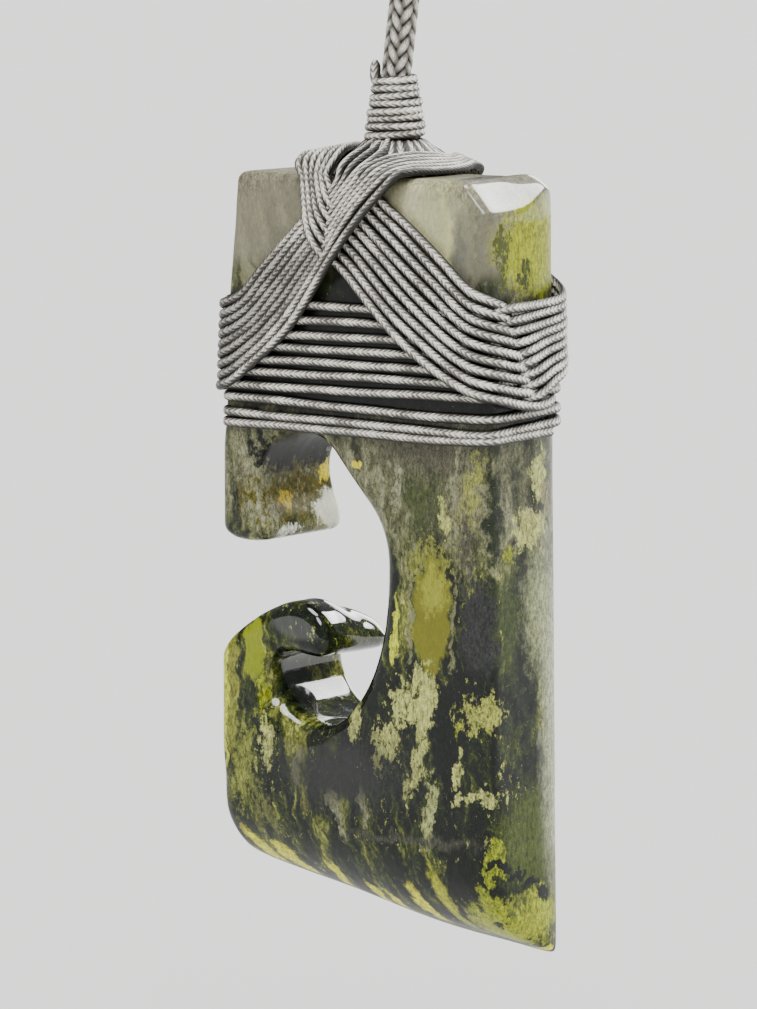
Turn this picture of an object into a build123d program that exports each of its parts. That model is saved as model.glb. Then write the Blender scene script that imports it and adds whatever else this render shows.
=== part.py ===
"""A greenstone koru pendant: a thick polished slab with a spiral cut-out and a bevelled lower end,
lashed at its head with braided thread and hung from a plaited neck cord.
Millimetres. X runs across the slab, Y through its thickness with the front at -Y, and Z is up.
The model is drawn about the middle of the slab and then moved, so that the origin ends up under
the top of the neck loop, where the cord lies on a neck or a peg."""

import math
import os
from build123d import *

# The slab, all heights from its own middle
SLAB_TOP = 33.5
THICK = 12.0
LEFT_EDGE = [(-40.0, -15.6), (8.0, -15.5), (21.4, -15.05), (SLAB_TOP, -13.9)]  # height, x
RIGHT_EDGE = [(-40.0, 16.0), (SLAB_TOP, 14.9)]  # height, x
CORNER_FRONT = 1.2
CORNER_BACK = 3.0
TOP_ROUNDING = 0.7
RIM_ROUNDING = 0.8
TOP_CHAMFER = (2.5, 2.7)  # across, down

# The bevel: a round shoulder at the front, then a straight run to the edge at the back
EDGE_LEFT_HEIGHT = -34.9
EDGE_RIGHT_HEIGHT = -39.3
BEVEL_HEIGHT = 10.2
BEVEL_KNEE = (-0.6, 2.7)  # y, height above the cutting edge
BEVEL_SHOULDER = (-4.0, 5.3)

# The koru cut-out, from the hanging stub round the bowl to the head: x, height, heading in degrees
CUT_ROUTE = [
    (-15.9, 0.9, -75),  # where the stub's outer corner leaves the slab's left side
    (-13.6, -0.9, 0),  # under the stub
    (-11.5, 0.2, 92),  # the stub's inner corner
    (-12.1, 3.8, 90),  # wall of the round notch behind the stub
    (-7.2, 9.6, 0),  # roof of the notch
    (-1.9, 7.4, -49),
    (4.1, -2.0, -89),  # the long inner curve
    (2.5, -11.8, -113),
    (-4.8, -17.9, 180),  # bottom of the bowl
    (-10.4, -12.9, 90),  # its left wall
    (-9.3, -11.5, 5),  # under the spiral's head
    (-5.2, -11.7, 0),
    (-3.5, -10.2, 100),  # tip of the head
    (-7.6, -7.6, 180),  # top of the head
    (-15.9, -13.2, 258),  # shoulder running out to the slab's left side
]
OUTSIDE_X = -25.0
CLEAR = 4.0  # how far a cutter stands out past what it cuts

# Lashing thread lies in flattened turns: layers are heights above the slab's surface
LAYER_GAP = 0.08
FIRST_LAYER = 0.72
SECOND_LAYER = 1.42
THIRD_LAYER = 2.1
WRAP_LOW, WRAP_HIGH = 10.0, 22.3
SIDE_MEETING = 0.12  # half of the slit where front and rear bundles meet on the side
# Outlines of the bundles seen from the front: x, height
RIGHT_BUNDLE = [
    (4.3, 31.2), (5.9, 30.2), (10.4, 27.3), (13.8, 24.8), (16.0, 23.6), (19.0, 23.3),
    (19.0, 12.4), (16.0, 13.2), (12.7, 14.4), (8.1, 16.8), (4.7, 19.3), (1.3, 22.3),
    (-1.3, 24.3), (0.5, 26.1), (2.4, 28.6),
]
LEFT_BUNDLE = [
    (-19.0, 12.0), (-14.8, 12.7), (-10.6, 15.6), (-7.0, 18.4), (-3.4, 23.0), (-1.7, 25.1),
    (0.1, 27.3), (3.0, 31.0), (5.4, 33.3), (-1.5, 33.3), (-5.8, 29.9), (-10.3, 25.9),
    (-13.6, 21.5), (-19.0, 20.8),
]
FRONT, REAR = -1, 1
# The left bundle's upper part, a little larger, which the loop bundle lies over
UNDER_LOOP = [(-7.0, 18.4), (-3.2, 23.0), (3.2, 31.0), (5.6, 33.5), (-1.6, 33.5), (-6.0, 30.1), (-10.5, 26.0)]
LOOP_BUNDLE = [
    (-5.6, 33.4), (-5.2, 30.7), (-4.5, 28.5), (-3.4, 26.7), (-2.5, 25.5), (-1.5, 27.3),
    (-1.7, 30.0), (-1.3, 32.4), (-0.6, 33.4),
]
# The saddle over the slab's head: height, width, depth, x of its middle
SADDLE = [(33.58, 12.4, 14.5, 0.4), (35.2, 11.0, 12.6, 0.3), (36.6, 6.4, 6.4, 0.0)]
SADDLE_CORNER = 2.0

# The whipping, the plaited stem and the neck loop
WHIPPING_LOW, WHIPPING_HIGH = 36.7, 43.3
WHIPPING_WIDE, WHIPPING_NARROW = 5.9, 4.4
STEM_DIAMETER = 3.0
STEM_RISE = 11.0
STEM_LEAN = 9.4  # degrees, towards +X
JOIN_LENGTH = 7.0
JOIN_FOOT = (4.4, 4.38)  # width, depth
JOIN_TOP = (7.0, 4.4)
LEG_DIAMETER = 2.2
LEG_SPREAD = 1.5
# Right half of the loop, from the join up to the neck: x from the loop's middle, height over the join
HALF_ROUTE = [
    (LEG_SPREAD, 0.25), (5.5, 21.0), (16.5, 60.0), (31.0, 104.0), (45.5, 147.0),
    (55.5, 188.0), (57.5, 227.0), (44.5, 262.0), (16.0, 281.0),
]
MAX_ARC_SHARE = 0.45

STEM_FOOT = WHIPPING_HIGH
JOIN_X = STEM_RISE * math.tan(math.radians(STEM_LEAN))
JOIN_LOW = STEM_FOOT + STEM_RISE
JOIN_HIGH = JOIN_LOW + JOIN_LENGTH
NECK_HEIGHT = JOIN_HIGH + HALF_ROUTE[-1][1] - LEG_DIAMETER / 2
HANG = Pos(-JOIN_X, 0, -NECK_HEIGHT)


def along(table, height):
    """x of an edge at a height, straight between the rows of its table."""
    for (low, x_low), (high, x_high) in zip(table, table[1:]):
        if height <= high:
            share = (height - low) / (high - low)
            return x_low + share * (x_high - x_low)
    return table[-1][1]


def section(height, growth):
    """The slab's cross-section at a height, grown outwards, with its own front and back corners."""
    left = along(LEFT_EDGE, height) - growth
    right = along(RIGHT_EDGE, height) + growth
    front, back = -THICK / 2 - growth, THICK / 2 + growth
    small, large = CORNER_FRONT + growth, CORNER_BACK + growth
    outline = Polyline((left, front), (right, front), (right, back), (left, back), close=True)
    face = make_face(outline)
    face = fillet(face.vertices().filter_by_position(Axis.Y, front - 0.01, front + 0.01), small)
    face = fillet(face.vertices().filter_by_position(Axis.Y, back - 0.01, back + 0.01), large)
    return Pos(0, 0, height) * face


def sleeve_body(low, high, growth):
    """A solid slab between two heights, grown outwards by one layer or more."""
    inner = [h for h, _ in LEFT_EDGE if low + 0.5 < h < high - 0.5]
    return loft([section(h, growth) for h in (low, *inner, high)], ruled=True)


def sleeve(low, high, inside, outside):
    """The space between two growths of the slab: the room that a layer of thread takes."""
    return sleeve_body(low, high, outside) - sleeve_body(low - 1, high + 1, inside)


def front_prism(outline, near, far):
    """An outline seen from the front, carried through the thickness from near to far."""
    face = make_face(Plane.XZ * Polyline(*outline, close=True))
    return Pos(0, near, 0) * extrude(face, amount=far - near, dir=(0, 1, 0))


def bevel_cutter():
    """What the grinding of the lower end takes away: the space under the slanting bevel."""
    half = THICK / 2
    out, over, under = half + CLEAR, BEVEL_HEIGHT + CLEAR, LEFT_EDGE[0][0]
    shoulder = Plane.YZ * ThreePointArc((-half, BEVEL_HEIGHT), BEVEL_SHOULDER, BEVEL_KNEE)
    fall = BEVEL_KNEE[1] / (half - BEVEL_KNEE[0])
    rest = Plane.YZ * Polyline(
        BEVEL_KNEE, (out, -CLEAR * fall), (out, under), (-out, under), (-out, over),
        (-half - LAYER_GAP, over), (-half, BEVEL_HEIGHT),
    )
    left, right = LEFT_EDGE[0][1], RIGHT_EDGE[0][1]
    slope = (EDGE_RIGHT_HEIGHT - EDGE_LEFT_HEIGHT) / (right - left)
    start = Pos(left - CLEAR, 0, EDGE_LEFT_HEIGHT - CLEAR * slope)
    length = (right - left + 2 * CLEAR) * math.hypot(1, slope)
    return extrude(start * make_face([shoulder, rest]), amount=length, dir=(1, 0, slope))


def arc_pair(start, end):
    """Two arcs that meet smoothly: they leave one row of the route along its heading and reach the
    next along its own. Both have the same tangent length, so the joint is halfway between them."""
    p, q = Vector(*start[:2]), Vector(*end[:2])
    t, u = (Vector(1, 0).rotate(Axis.Z, row[2]) for row in (start, end))
    gap, both = q - p, t + u
    along_both = gap.dot(both)
    square = 2 * (1 - t.dot(u))
    if square < 1e-6:
        reach = gap.dot(gap) / (4 * gap.dot(t))
    else:
        reach = (math.sqrt(along_both**2 + square * gap.dot(gap)) - along_both) / square
    leaving, arriving = p + t * reach, q - u * reach
    joint = (leaving + arriving) / 2
    return [TangentArc(p, joint, tangent=t), TangentArc(joint, q, tangent=arriving - leaving)]


def koru_cutter():
    """The spiral cut-out, carried through the thickness and open at the left."""
    edges = []
    for start, end in zip(CUT_ROUTE, CUT_ROUTE[1:]):
        edges += arc_pair(start, end)
    first, last = CUT_ROUTE[0], CUT_ROUTE[-1]
    edges.append(Polyline(last[:2], (OUTSIDE_X, last[1]), (OUTSIDE_X, first[1]), first[:2]))
    face = Plane.XZ * make_face(edges)
    return Pos(0, -THICK, 0) * extrude(face, amount=2 * THICK, dir=(0, 1, 0))


def front_rim(slab):
    """The edges where the cut-out meets the slab's front."""
    xs, heights, _ = zip(*CUT_ROUTE)
    across = (LEFT_EDGE[0][1] + CORNER_FRONT, max(xs) + 1)
    rim = slab.edges().filter_by_position(Axis.Y, -THICK / 2 - 0.01, -THICK / 2 + 0.01)
    rim = rim.filter_by_position(Axis.X, *across)
    return rim.filter_by_position(Axis.Z, min(heights) - 1, max(heights) + 1)


def koru_stone():
    """The slab: lofted, its top corner chamfered, bevelled below and cut through."""
    slab = sleeve_body(LEFT_EDGE[0][0], SLAB_TOP, 0)
    across, down = TOP_CHAMFER
    corner = along(RIGHT_EDGE, SLAB_TOP)
    corner_cut = [(corner - across, SLAB_TOP), (corner, SLAB_TOP - down), (corner + CLEAR, SLAB_TOP - down),
                  (corner + CLEAR, SLAB_TOP + CLEAR), (corner - across, SLAB_TOP + CLEAR)]
    slab -= front_prism(corner_cut, -THICK, THICK)
    slab = fillet(slab.faces().sort_by(Axis.Z)[-1].edges(), TOP_ROUNDING)
    slab -= bevel_cutter()
    slab -= koru_cutter()
    return fillet(front_rim(slab), RIM_ROUNDING)  # this runs on round the sides and the back


def bundle_room():
    """Where the second layer lies: on the first layer over the wraps, on the slab above them."""
    over = sleeve(WRAP_LOW, WRAP_HIGH + 0.2, FIRST_LAYER + LAYER_GAP, SECOND_LAYER)
    above = sleeve(WRAP_HIGH + 0.15, SLAB_TOP - 0.2, LAYER_GAP, SECOND_LAYER)
    return over + above


def bundle_prism(outline, side, raised=0.0):
    """A bundle's outline carried through one half of the thickness: side -1 is the front and 1 the rear,
    where the same outline is turned half round the vertical."""
    turned = [(-side * x, h) for x, h in outline]
    near, far = sorted((side * raised, side * THICK))
    return front_prism(turned, near, far)


def diagonal(outline, side):
    """A diagonal bundle, ending at the slit where the front and rear ones meet on the slab's sides."""
    return bundle_room() & bundle_prism(outline, side, SIDE_MEETING)


def top_loop(side):
    """The short bundle that comes over the head and crosses above the left bundle."""
    low = WRAP_HIGH + 1
    room = sleeve(low, SLAB_TOP - 0.1, LAYER_GAP, THIRD_LAYER) & bundle_prism(LOOP_BUNDLE, side)
    under = sleeve(low - 1, SLAB_TOP, 0, SECOND_LAYER + LAYER_GAP) & bundle_prism(UNDER_LOOP, side)
    return room - under


def saddle():
    """The mound of strands over the slab's head."""
    rows = [Pos(x, 0, h) * RectangleRounded(w, d, SADDLE_CORNER) for h, w, d, x in SADDLE]
    return loft(rows, ruled=True)


def whipping():
    """The tight winding, a little narrower at its top."""
    middle = Pos(0, 0, (WHIPPING_LOW + WHIPPING_HIGH) / 2)
    return middle * Cone(WHIPPING_WIDE / 2, WHIPPING_NARROW / 2, WHIPPING_HIGH - WHIPPING_LOW)


def neck_route():
    """Centreline points of the loop, from one side of the join over the neck to the other."""
    right = [(JOIN_X + x, 0, JOIN_HIGH + h) for x, h in HALF_ROUTE]
    left = [(JOIN_X - x, 0, JOIN_HIGH + h) for x, h in reversed(HALF_ROUTE)]
    return right + left


def arc_radii(points):
    """One radius for each corner: as large as its two runs allow."""
    radii = []
    for a, b, c in zip(points, points[1:], points[2:]):
        first, second = Vector(b) - Vector(a), Vector(c) - Vector(b)
        half = math.radians(first.get_angle(second)) / 2
        radii.append(MAX_ARC_SHARE * min(first.length, second.length) / math.tan(half))
    return radii


def neck_cord():
    """The loop's tube: straight runs joined by tangent arcs."""
    points = neck_route()
    radii = arc_radii(points)
    path = FilletPolyline(*points, radius=radii)
    start = Plane(origin=path @ 0, z_dir=path % 0)
    tube = sweep(start * Circle(LEG_DIAMETER / 2), path=path)
    expected = math.pi * (LEG_DIAMETER / 2) ** 2 * path.length
    print("neck cord length", round(path.length, 1), "volume share", round(tube.volume / expected, 4))
    print("neck cord arc radii", [round(r, 1) for r in radii])
    return tube


def stem():
    """The short plaited stem, leaning a little as it leaves the whipping."""
    top = (JOIN_X, 0, JOIN_LOW - LAYER_GAP)
    foot = (0, 0, STEM_FOOT + LAYER_GAP)
    rows = [Pos(*p) * Circle(STEM_DIAMETER / 2) for p in (foot, top)]
    return loft(rows, ruled=True)


def join():
    """The binding where the stem divides into the two legs of the loop."""
    ends = ((JOIN_LOW, JOIN_FOOT), (JOIN_HIGH - LAYER_GAP, JOIN_TOP))
    return loft([Pos(JOIN_X, 0, h) * Ellipse(wide / 2, deep / 2) for h, (wide, deep) in ends], ruled=True)


PIECES = {
    "koru_stone": koru_stone(),
    "wrap_turns": sleeve(WRAP_LOW, WRAP_HIGH, LAYER_GAP, FIRST_LAYER),
    "front_left_bundle": diagonal(LEFT_BUNDLE, FRONT),
    "front_right_bundle": diagonal(RIGHT_BUNDLE, FRONT),
    "front_loop": top_loop(FRONT),
    "rear_left_bundle": diagonal(LEFT_BUNDLE, REAR),
    "rear_right_bundle": diagonal(RIGHT_BUNDLE, REAR),
    "rear_loop": top_loop(REAR),
    "top_saddle": saddle(),
    "whipping": whipping(),
    "cord_stem": stem(),
    "leg_binding": join(),
    "neck_cord": neck_cord(),
}

os.makedirs("parts", exist_ok=True)
for name, piece in PIECES.items():
    export_step(HANG * piece, f"parts/{name}.step")
    print(name, len(piece.solids()), round(piece.volume, 1))
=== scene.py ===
"""A greenstone koru pendant, lashed at its head with braided thread and hung from a plaited neck cord.
Shapes are worked out in millimetres about the middle of the slab, and then moved so that they hang
under the neck as the frame does."""
import math
import bmesh
import bpy
import numpy as np
from mathutils import Matrix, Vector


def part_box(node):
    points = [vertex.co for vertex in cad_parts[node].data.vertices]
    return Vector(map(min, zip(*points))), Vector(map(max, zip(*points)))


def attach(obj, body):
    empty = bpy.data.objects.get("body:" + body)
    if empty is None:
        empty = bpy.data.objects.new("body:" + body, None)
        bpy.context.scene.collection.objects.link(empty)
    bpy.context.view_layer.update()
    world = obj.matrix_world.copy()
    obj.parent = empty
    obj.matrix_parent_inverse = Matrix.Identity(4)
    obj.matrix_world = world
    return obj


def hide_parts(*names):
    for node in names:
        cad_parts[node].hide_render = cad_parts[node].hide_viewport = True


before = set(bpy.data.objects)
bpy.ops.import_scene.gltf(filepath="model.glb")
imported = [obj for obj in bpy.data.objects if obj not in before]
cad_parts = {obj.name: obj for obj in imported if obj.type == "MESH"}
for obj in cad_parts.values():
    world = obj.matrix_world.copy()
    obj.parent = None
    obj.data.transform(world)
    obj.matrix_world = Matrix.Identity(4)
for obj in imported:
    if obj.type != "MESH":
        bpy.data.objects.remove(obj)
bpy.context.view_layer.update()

# The koru stone. A thick blade of greenstone, sawn out of the block, cut through with a diamond burr
# from its left side, ground to a slanting bevel below and then polished by hand, so that no edge is
# left sharp. The frame holds its exact form; here its edges get the soft rounding of the polishing.
MM = 0.001
SLAB_TOP = 33.5
HALF_THICK = 6.0
STONE_VOXEL = 0.3
OUTLINE_STEP = 0.3
BATCHES = 60  # the search for the outline's nearest points is done in so many parts
# Where the rounding of the rims differs from the common one: x, height, reach, front and back radius
RIM_PLACES = np.array([
    (-4.4, -9.8, 3.2, 1.3, 4.2),  # the spiral's head, ground away at the back
    (-9.5, -8.2, 3.0, 1.2, 2.2),
    (-9.3, -16.0, 3.2, 3.4, 1.4),  # bottom of the bowl, dished in front
    (-6.5, -17.7, 2.6, 2.4, 1.4),
    (-12.0, 2.0, 3.0, 1.0, 1.0),  # wall of the hanging stub
])
# Radius of the rims' rounding, in front and at the back
COMMON_RIM = (1.1, 1.4)
SIDE_RIM = (1.2, 3.0)
LEFT_RIM = 0.85
# The rims of the left side, of the right side and of the top: axis, and where they begin and are full
OUTER_RIMS = [(0, -13.5, -15.2), (0, 9.0, 13.0), (1, 29.0, 31.0)]
RIM_BAND = 5.0  # the rounding moves nothing that is further in from the outline
BEVEL_TOP = (-20.0, -24.0)  # the rims' rounding fades out over the bevel
HOLD_OUT = (0.5, 0.15)  # share of the rim's radius and length by which walls that face left stand out
LOW_LEFT_OUT = 0.2  # the left side stands out by so much more below the cut-out
STUB_SHIFT = (0.85, -0.36)  # to the right and up, as the next one
CORNER_SHIFT = (0.75, 0.70)
ROOF_SHIFT = (1.25, -1.3)  # up in front and up behind
HEM_DROP = 0.55
POLISH = 0.5  # strength of a round of smoothing
RIM_PASSES, RIM_ROUNDS, TIP_ROUNDS, HEM_ROUNDS = 2, 4, 60, 14
RIGHT_SIDE = (15.5, 0.015)  # x at middle height, and how far it comes in for each millimetre up
RIGHT_PART = 11.0  # nothing to the left of this is cut back to the right side
# The right side falls away towards the back: from how far behind the front face, over what depth, how far
CROWN_FROM, CROWN_DEPTH, CROWN_FALL = 4.8, 7.2, 2.0


def node_box(node):
    """The lower and the upper corner of a frame's node, in millimetres."""
    return np.array(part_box(node)) / MM


HANG = np.array([node_box("whipping")[:, 0].mean(), 0, node_box("koru_stone")[1, 2] - SLAB_TOP])


def to_scene(points):
    """Millimetres about the slab's middle, moved to the frame's place and turned into metres."""
    return (np.asarray(points) + HANG) * MM


def smoothstep(value, low, high):
    """0 up to low, 1 from high on, and the cubic 3 s squared minus 2 s cubed in between."""
    s = np.clip((value - low) / (high - low), 0, 1)
    return s * s * (3 - 2 * s)


def placed(name, data):
    """A new object with the data given, put into the scene."""
    thing = bpy.data.objects.new(name, data)
    bpy.context.scene.collection.objects.link(thing)
    return thing


def settled(thing):
    """The mesh that a helper object comes to with its modifiers; the helper itself goes."""
    mesh = bpy.data.meshes.new_from_object(thing.evaluated_get(bpy.context.evaluated_depsgraph_get()))
    bpy.data.objects.remove(thing)
    return mesh


def points_of(mesh):
    """A mesh's points, one row each."""
    rows = np.empty(len(mesh.vertices) * 3)
    mesh.vertices.foreach_get("co", rows)
    return rows.reshape(-1, 3)


def distance_run(points):
    """How far each point of a line lies from its start along the line."""
    return np.r_[0, np.cumsum(np.linalg.norm(np.diff(points, axis=0), axis=1))]


def finished(mesh_object, node, material):
    """Puts a piece on the body, lets it stand for the frame's plain nodes, and gives it its finish."""
    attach(mesh_object, "root")
    for name in np.atleast_1d(node):
        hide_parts(str(name))
    mesh_object.data.materials.append(material)


def stone_outline(block):
    """The outline halfway through the thickness: the block is cut there and the cut's edges are put
    in order, then read again at even steps, with the direction that points into the stone."""
    cut = bmesh.ops.bisect_plane(block, geom=block.verts[:] + block.edges[:] + block.faces[:],
                                 plane_co=(0, 0, 0), plane_no=(0, 1, 0))["geom_cut"]
    next_to = {}
    for edge in cut:
        if isinstance(edge, bmesh.types.BMEdge):
            a, b = edge.verts
            next_to.setdefault(a, []).append(b)
            next_to.setdefault(b, []).append(a)
    start = here = next(iter(next_to))
    before, ring = None, []
    while here is not None and (here is not start or not ring):
        ring.append((here.co.x, here.co.z))
        here, before = next((v for v in next_to[here] if v is not before), None), here
    ring = np.array(ring + ring[:1])
    run = distance_run(ring)
    at = np.linspace(0, run[-1], int(run[-1] / OUTLINE_STEP), endpoint=False)
    line = np.stack([np.interp(at, run, ring[:, k]) for k in (0, 1)], 1)
    ahead = np.roll(line, -1, 0) - np.roll(line, 1, 0)
    ahead /= np.linalg.norm(ahead, axis=1, keepdims=True)
    area = np.sum(line[:, 0] * np.roll(line[:, 1], -1) - line[:, 1] * np.roll(line[:, 0], -1))
    inward = np.stack([-ahead[:, 1], ahead[:, 0]], 1) * np.sign(area)
    return line, inward


def voxel_skin(block):
    """A mesh of even quads over the block."""
    mesh = bpy.data.meshes.new("block")
    block.to_mesh(mesh)
    rough = placed("block", mesh)
    remesh = rough.modifiers.new("voxels", "REMESH")
    remesh.mode = "VOXEL"
    remesh.voxel_size = STONE_VOXEL
    return settled(rough)


def smoothed(points, edges, strength, rounds):
    """Each round moves every point towards the mean of its neighbours by its own strength."""
    count = np.bincount(edges.ravel(), minlength=len(points))[:, None]
    for _ in range(rounds):
        total = np.stack([
            np.bincount(edges[:, 0], points[edges[:, 1], k], len(points))
            + np.bincount(edges[:, 1], points[edges[:, 0], k], len(points)) for k in range(3)], 1)
        points = points + (total / count - points) * strength
    return points


def nearest_on(line, points):
    """The number of the outline's point that is nearest to each point, seen from the front."""
    return np.concatenate([
        np.argmin(((part[:, None, [0, 2]] - line[None]) ** 2).sum(2), 1)
        for part in np.array_split(points, BATCHES)])


def rounded_rims(points, line, inward):
    """The rim between a face and the wall becomes a quarter circle. In the plane of depth and of
    distance from the outline, a point outside the circle's radius is drawn in to it."""
    nearest = nearest_on(line, points)
    foot, normal = line[nearest], inward[nearest]
    distance = ((points[:, [0, 2]] - foot) * normal).sum(1)
    outer = np.clip(sum(smoothstep(foot[:, axis], begin, full) for axis, begin, full in OUTER_RIMS), 0, 1)
    back = points[:, 1] > 0
    radius = np.where(back, COMMON_RIM[1], COMMON_RIM[0])
    side_radius = np.where(back, SIDE_RIM[1], np.where(foot[:, 0] < 0, LEFT_RIM, SIDE_RIM[0]))
    radius += (side_radius - radius) * outer
    for x, height, reach, front_radius, back_radius in RIM_PLACES:
        near = np.exp(-(((foot - (x, height)) / reach) ** 2).sum(1)) * (1 - outer)
        radius += (np.where(back, back_radius, front_radius) - radius) * near
    depth = np.abs(points[:, 1])
    from_centre = radius - distance
    from_band = depth - (HALF_THICK - radius)
    length = np.hypot(from_centre, from_band)
    on_rim = (from_centre > 0) & (from_band > 0)
    on_wall = (from_band <= 0) & (distance < 3 * OUTLINE_STEP)
    scale = np.where(on_rim, radius / np.maximum(length, 1e-6), 1)
    new_distance = np.where(on_wall, 0, radius - from_centre * scale)
    new_depth = np.where(on_rim, HALF_THICK - radius + from_band * scale, depth)
    fade = smoothstep(points[:, 2], BEVEL_TOP[1], BEVEL_TOP[0]) * (distance < RIM_BAND)
    moved = points.copy()
    moved[:, [0, 2]] += normal * ((new_distance - distance) * fade)[:, None]
    moved[:, 1] += np.sign(points[:, 1]) * (new_depth - depth) * fade
    return moved


def worked_by_hand(points, line, inward):
    """Small departures of the hand-ground stone from straight walls, in millimetres. Walls that face
    left stand out a little, the stub is drawn down and towards the opening, the head's roof is higher
    in front and ground off behind, the corner above is fuller behind, and the lower edge hangs."""
    nearest = nearest_on(line, points)
    distance = np.linalg.norm(points[:, [0, 2]] - line[nearest], axis=1)
    wall = smoothstep(distance, 4.0, 0.0)
    x, y, z = points.T
    faces_left = np.clip(inward[nearest, 0], 0, 1)
    below_lashing = 1 - 0.45 * smoothstep(z, 7.0, 11.5)
    left_out = faces_left * wall * (HOLD_OUT[0] * np.where(x < -12, LEFT_RIM, COMMON_RIM[0]) + HOLD_OUT[1])
    left_out += LOW_LEFT_OUT * faces_left * wall * smoothstep(x, -13, -15) * smoothstep(z, -6, -9)
    left_out *= 1 - smoothstep(y, -2, 3) * smoothstep(z, -28, -34)
    stub = smoothstep(x, -8.5, -10.5) * smoothstep(z, -3.5, -2.5) * smoothstep(z, 6.5, 0.0)
    roof = np.exp(-(((x + 6.5) / 4.5) ** 2)) * smoothstep(z, -12.5, -8.5) * smoothstep(z, -4.0, -5.5) * wall
    corner = smoothstep(y, -4, 5) * np.exp(-((x - 13.7) ** 2 + (z - 32.1) ** 2) / 5.0)
    hem = np.exp(-(((x - 2.0) / 8.0) ** 2)) * smoothstep(z, -30.0, -36.0)
    moved = points.copy()
    moved[:, 0] += STUB_SHIFT[0] * stub * smoothstep(x, -14.5, -12.0) + CORNER_SHIFT[0] * corner
    moved[:, 0] -= left_out * below_lashing
    moved[:, 2] += STUB_SHIFT[1] * stub + CORNER_SHIFT[1] * corner - HEM_DROP * hem
    moved[:, 2] += roof * (ROOF_SHIFT[0] * smoothstep(y, 1.0, -3.0) + ROOF_SHIFT[1] * smoothstep(y, 0.5, 5.5))
    return moved


def koru_stone_piece():
    """The frame's stone, its loose triangles merged, skinned evenly and then polished: the rims are
    rounded, the tip of the bevel and the lower edge are worn, and the right side falls away."""
    block = bmesh.new()
    block.from_mesh(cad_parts["koru_stone"].data)
    bmesh.ops.remove_doubles(block, verts=block.verts, dist=1e-7)
    bmesh.ops.transform(block, verts=block.verts, matrix=Matrix.Translation(-HANG) @ Matrix.Scale(1 / MM, 4))
    mesh = voxel_skin(block)
    line, inward = stone_outline(block)
    block.free()
    points = points_of(mesh)
    edges = np.empty(len(mesh.edges) * 2, int)
    mesh.edges.foreach_get("vertices", edges)
    edges = edges.reshape(-1, 2)
    for _ in range(RIM_PASSES):
        points = smoothed(rounded_rims(points, line, inward), edges, POLISH, RIM_ROUNDS)
    x, y, z = points.T
    tip = smoothstep(z, -21, -25) * (0.15 + 0.85 * smoothstep(x, 9, 12)) * smoothstep(y, 6.2, 3.0)
    points = smoothed(points, edges, (POLISH * tip)[:, None], TIP_ROUNDS)
    points = worked_by_hand(points, line, inward)
    x, y, z = points.T
    hem = smoothstep(z, -27, -32) * smoothstep(x, 14.5, 11.0)
    points = smoothed(points, edges, (POLISH * hem)[:, None], HEM_ROUNDS)
    x, y, z = points.T
    crown = np.clip((y + HALF_THICK - CROWN_FROM) / CROWN_DEPTH, 0, 1)
    right_side = RIGHT_SIDE[0] - z * RIGHT_SIDE[1] - CROWN_FALL * (1 - np.sqrt(1 - crown**2))
    points[:, 0] = np.where(x > RIGHT_PART, np.minimum(x, right_side), x)
    mesh.vertices.foreach_set("co", to_scene(points).ravel())
    mesh.shade_smooth()
    mesh.update()
    return placed("koru_stone_polished", mesh)


class Wire:
    """The output of a node. Sums, products and quotients of wires and numbers add Math nodes."""

    def __init__(self, paint, socket):
        self.paint, self.socket = paint, socket

    def maths(self, operation, first, second=0.0):
        return self.paint.add("Math", {"operation": operation}, {0: first, 1: second})

    def __add__(self, other):
        return self.maths("ADD", self, other)

    def __sub__(self, other):
        return self.maths("SUBTRACT", self, other)

    def __mul__(self, other):
        return self.maths("MULTIPLY", self, other)

    def __truediv__(self, other):
        return self.maths("DIVIDE", self, other)

    def __rsub__(self, other):
        return self.maths("SUBTRACT", other, self)

    def __abs__(self):
        return self.maths("ABSOLUTE", self)

    def ping_pong(self, height):
        """Up from 0 to the height and down again, over and over."""
        return self.maths("PINGPONG", self, height)

    __radd__, __rmul__ = __add__, __mul__


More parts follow.
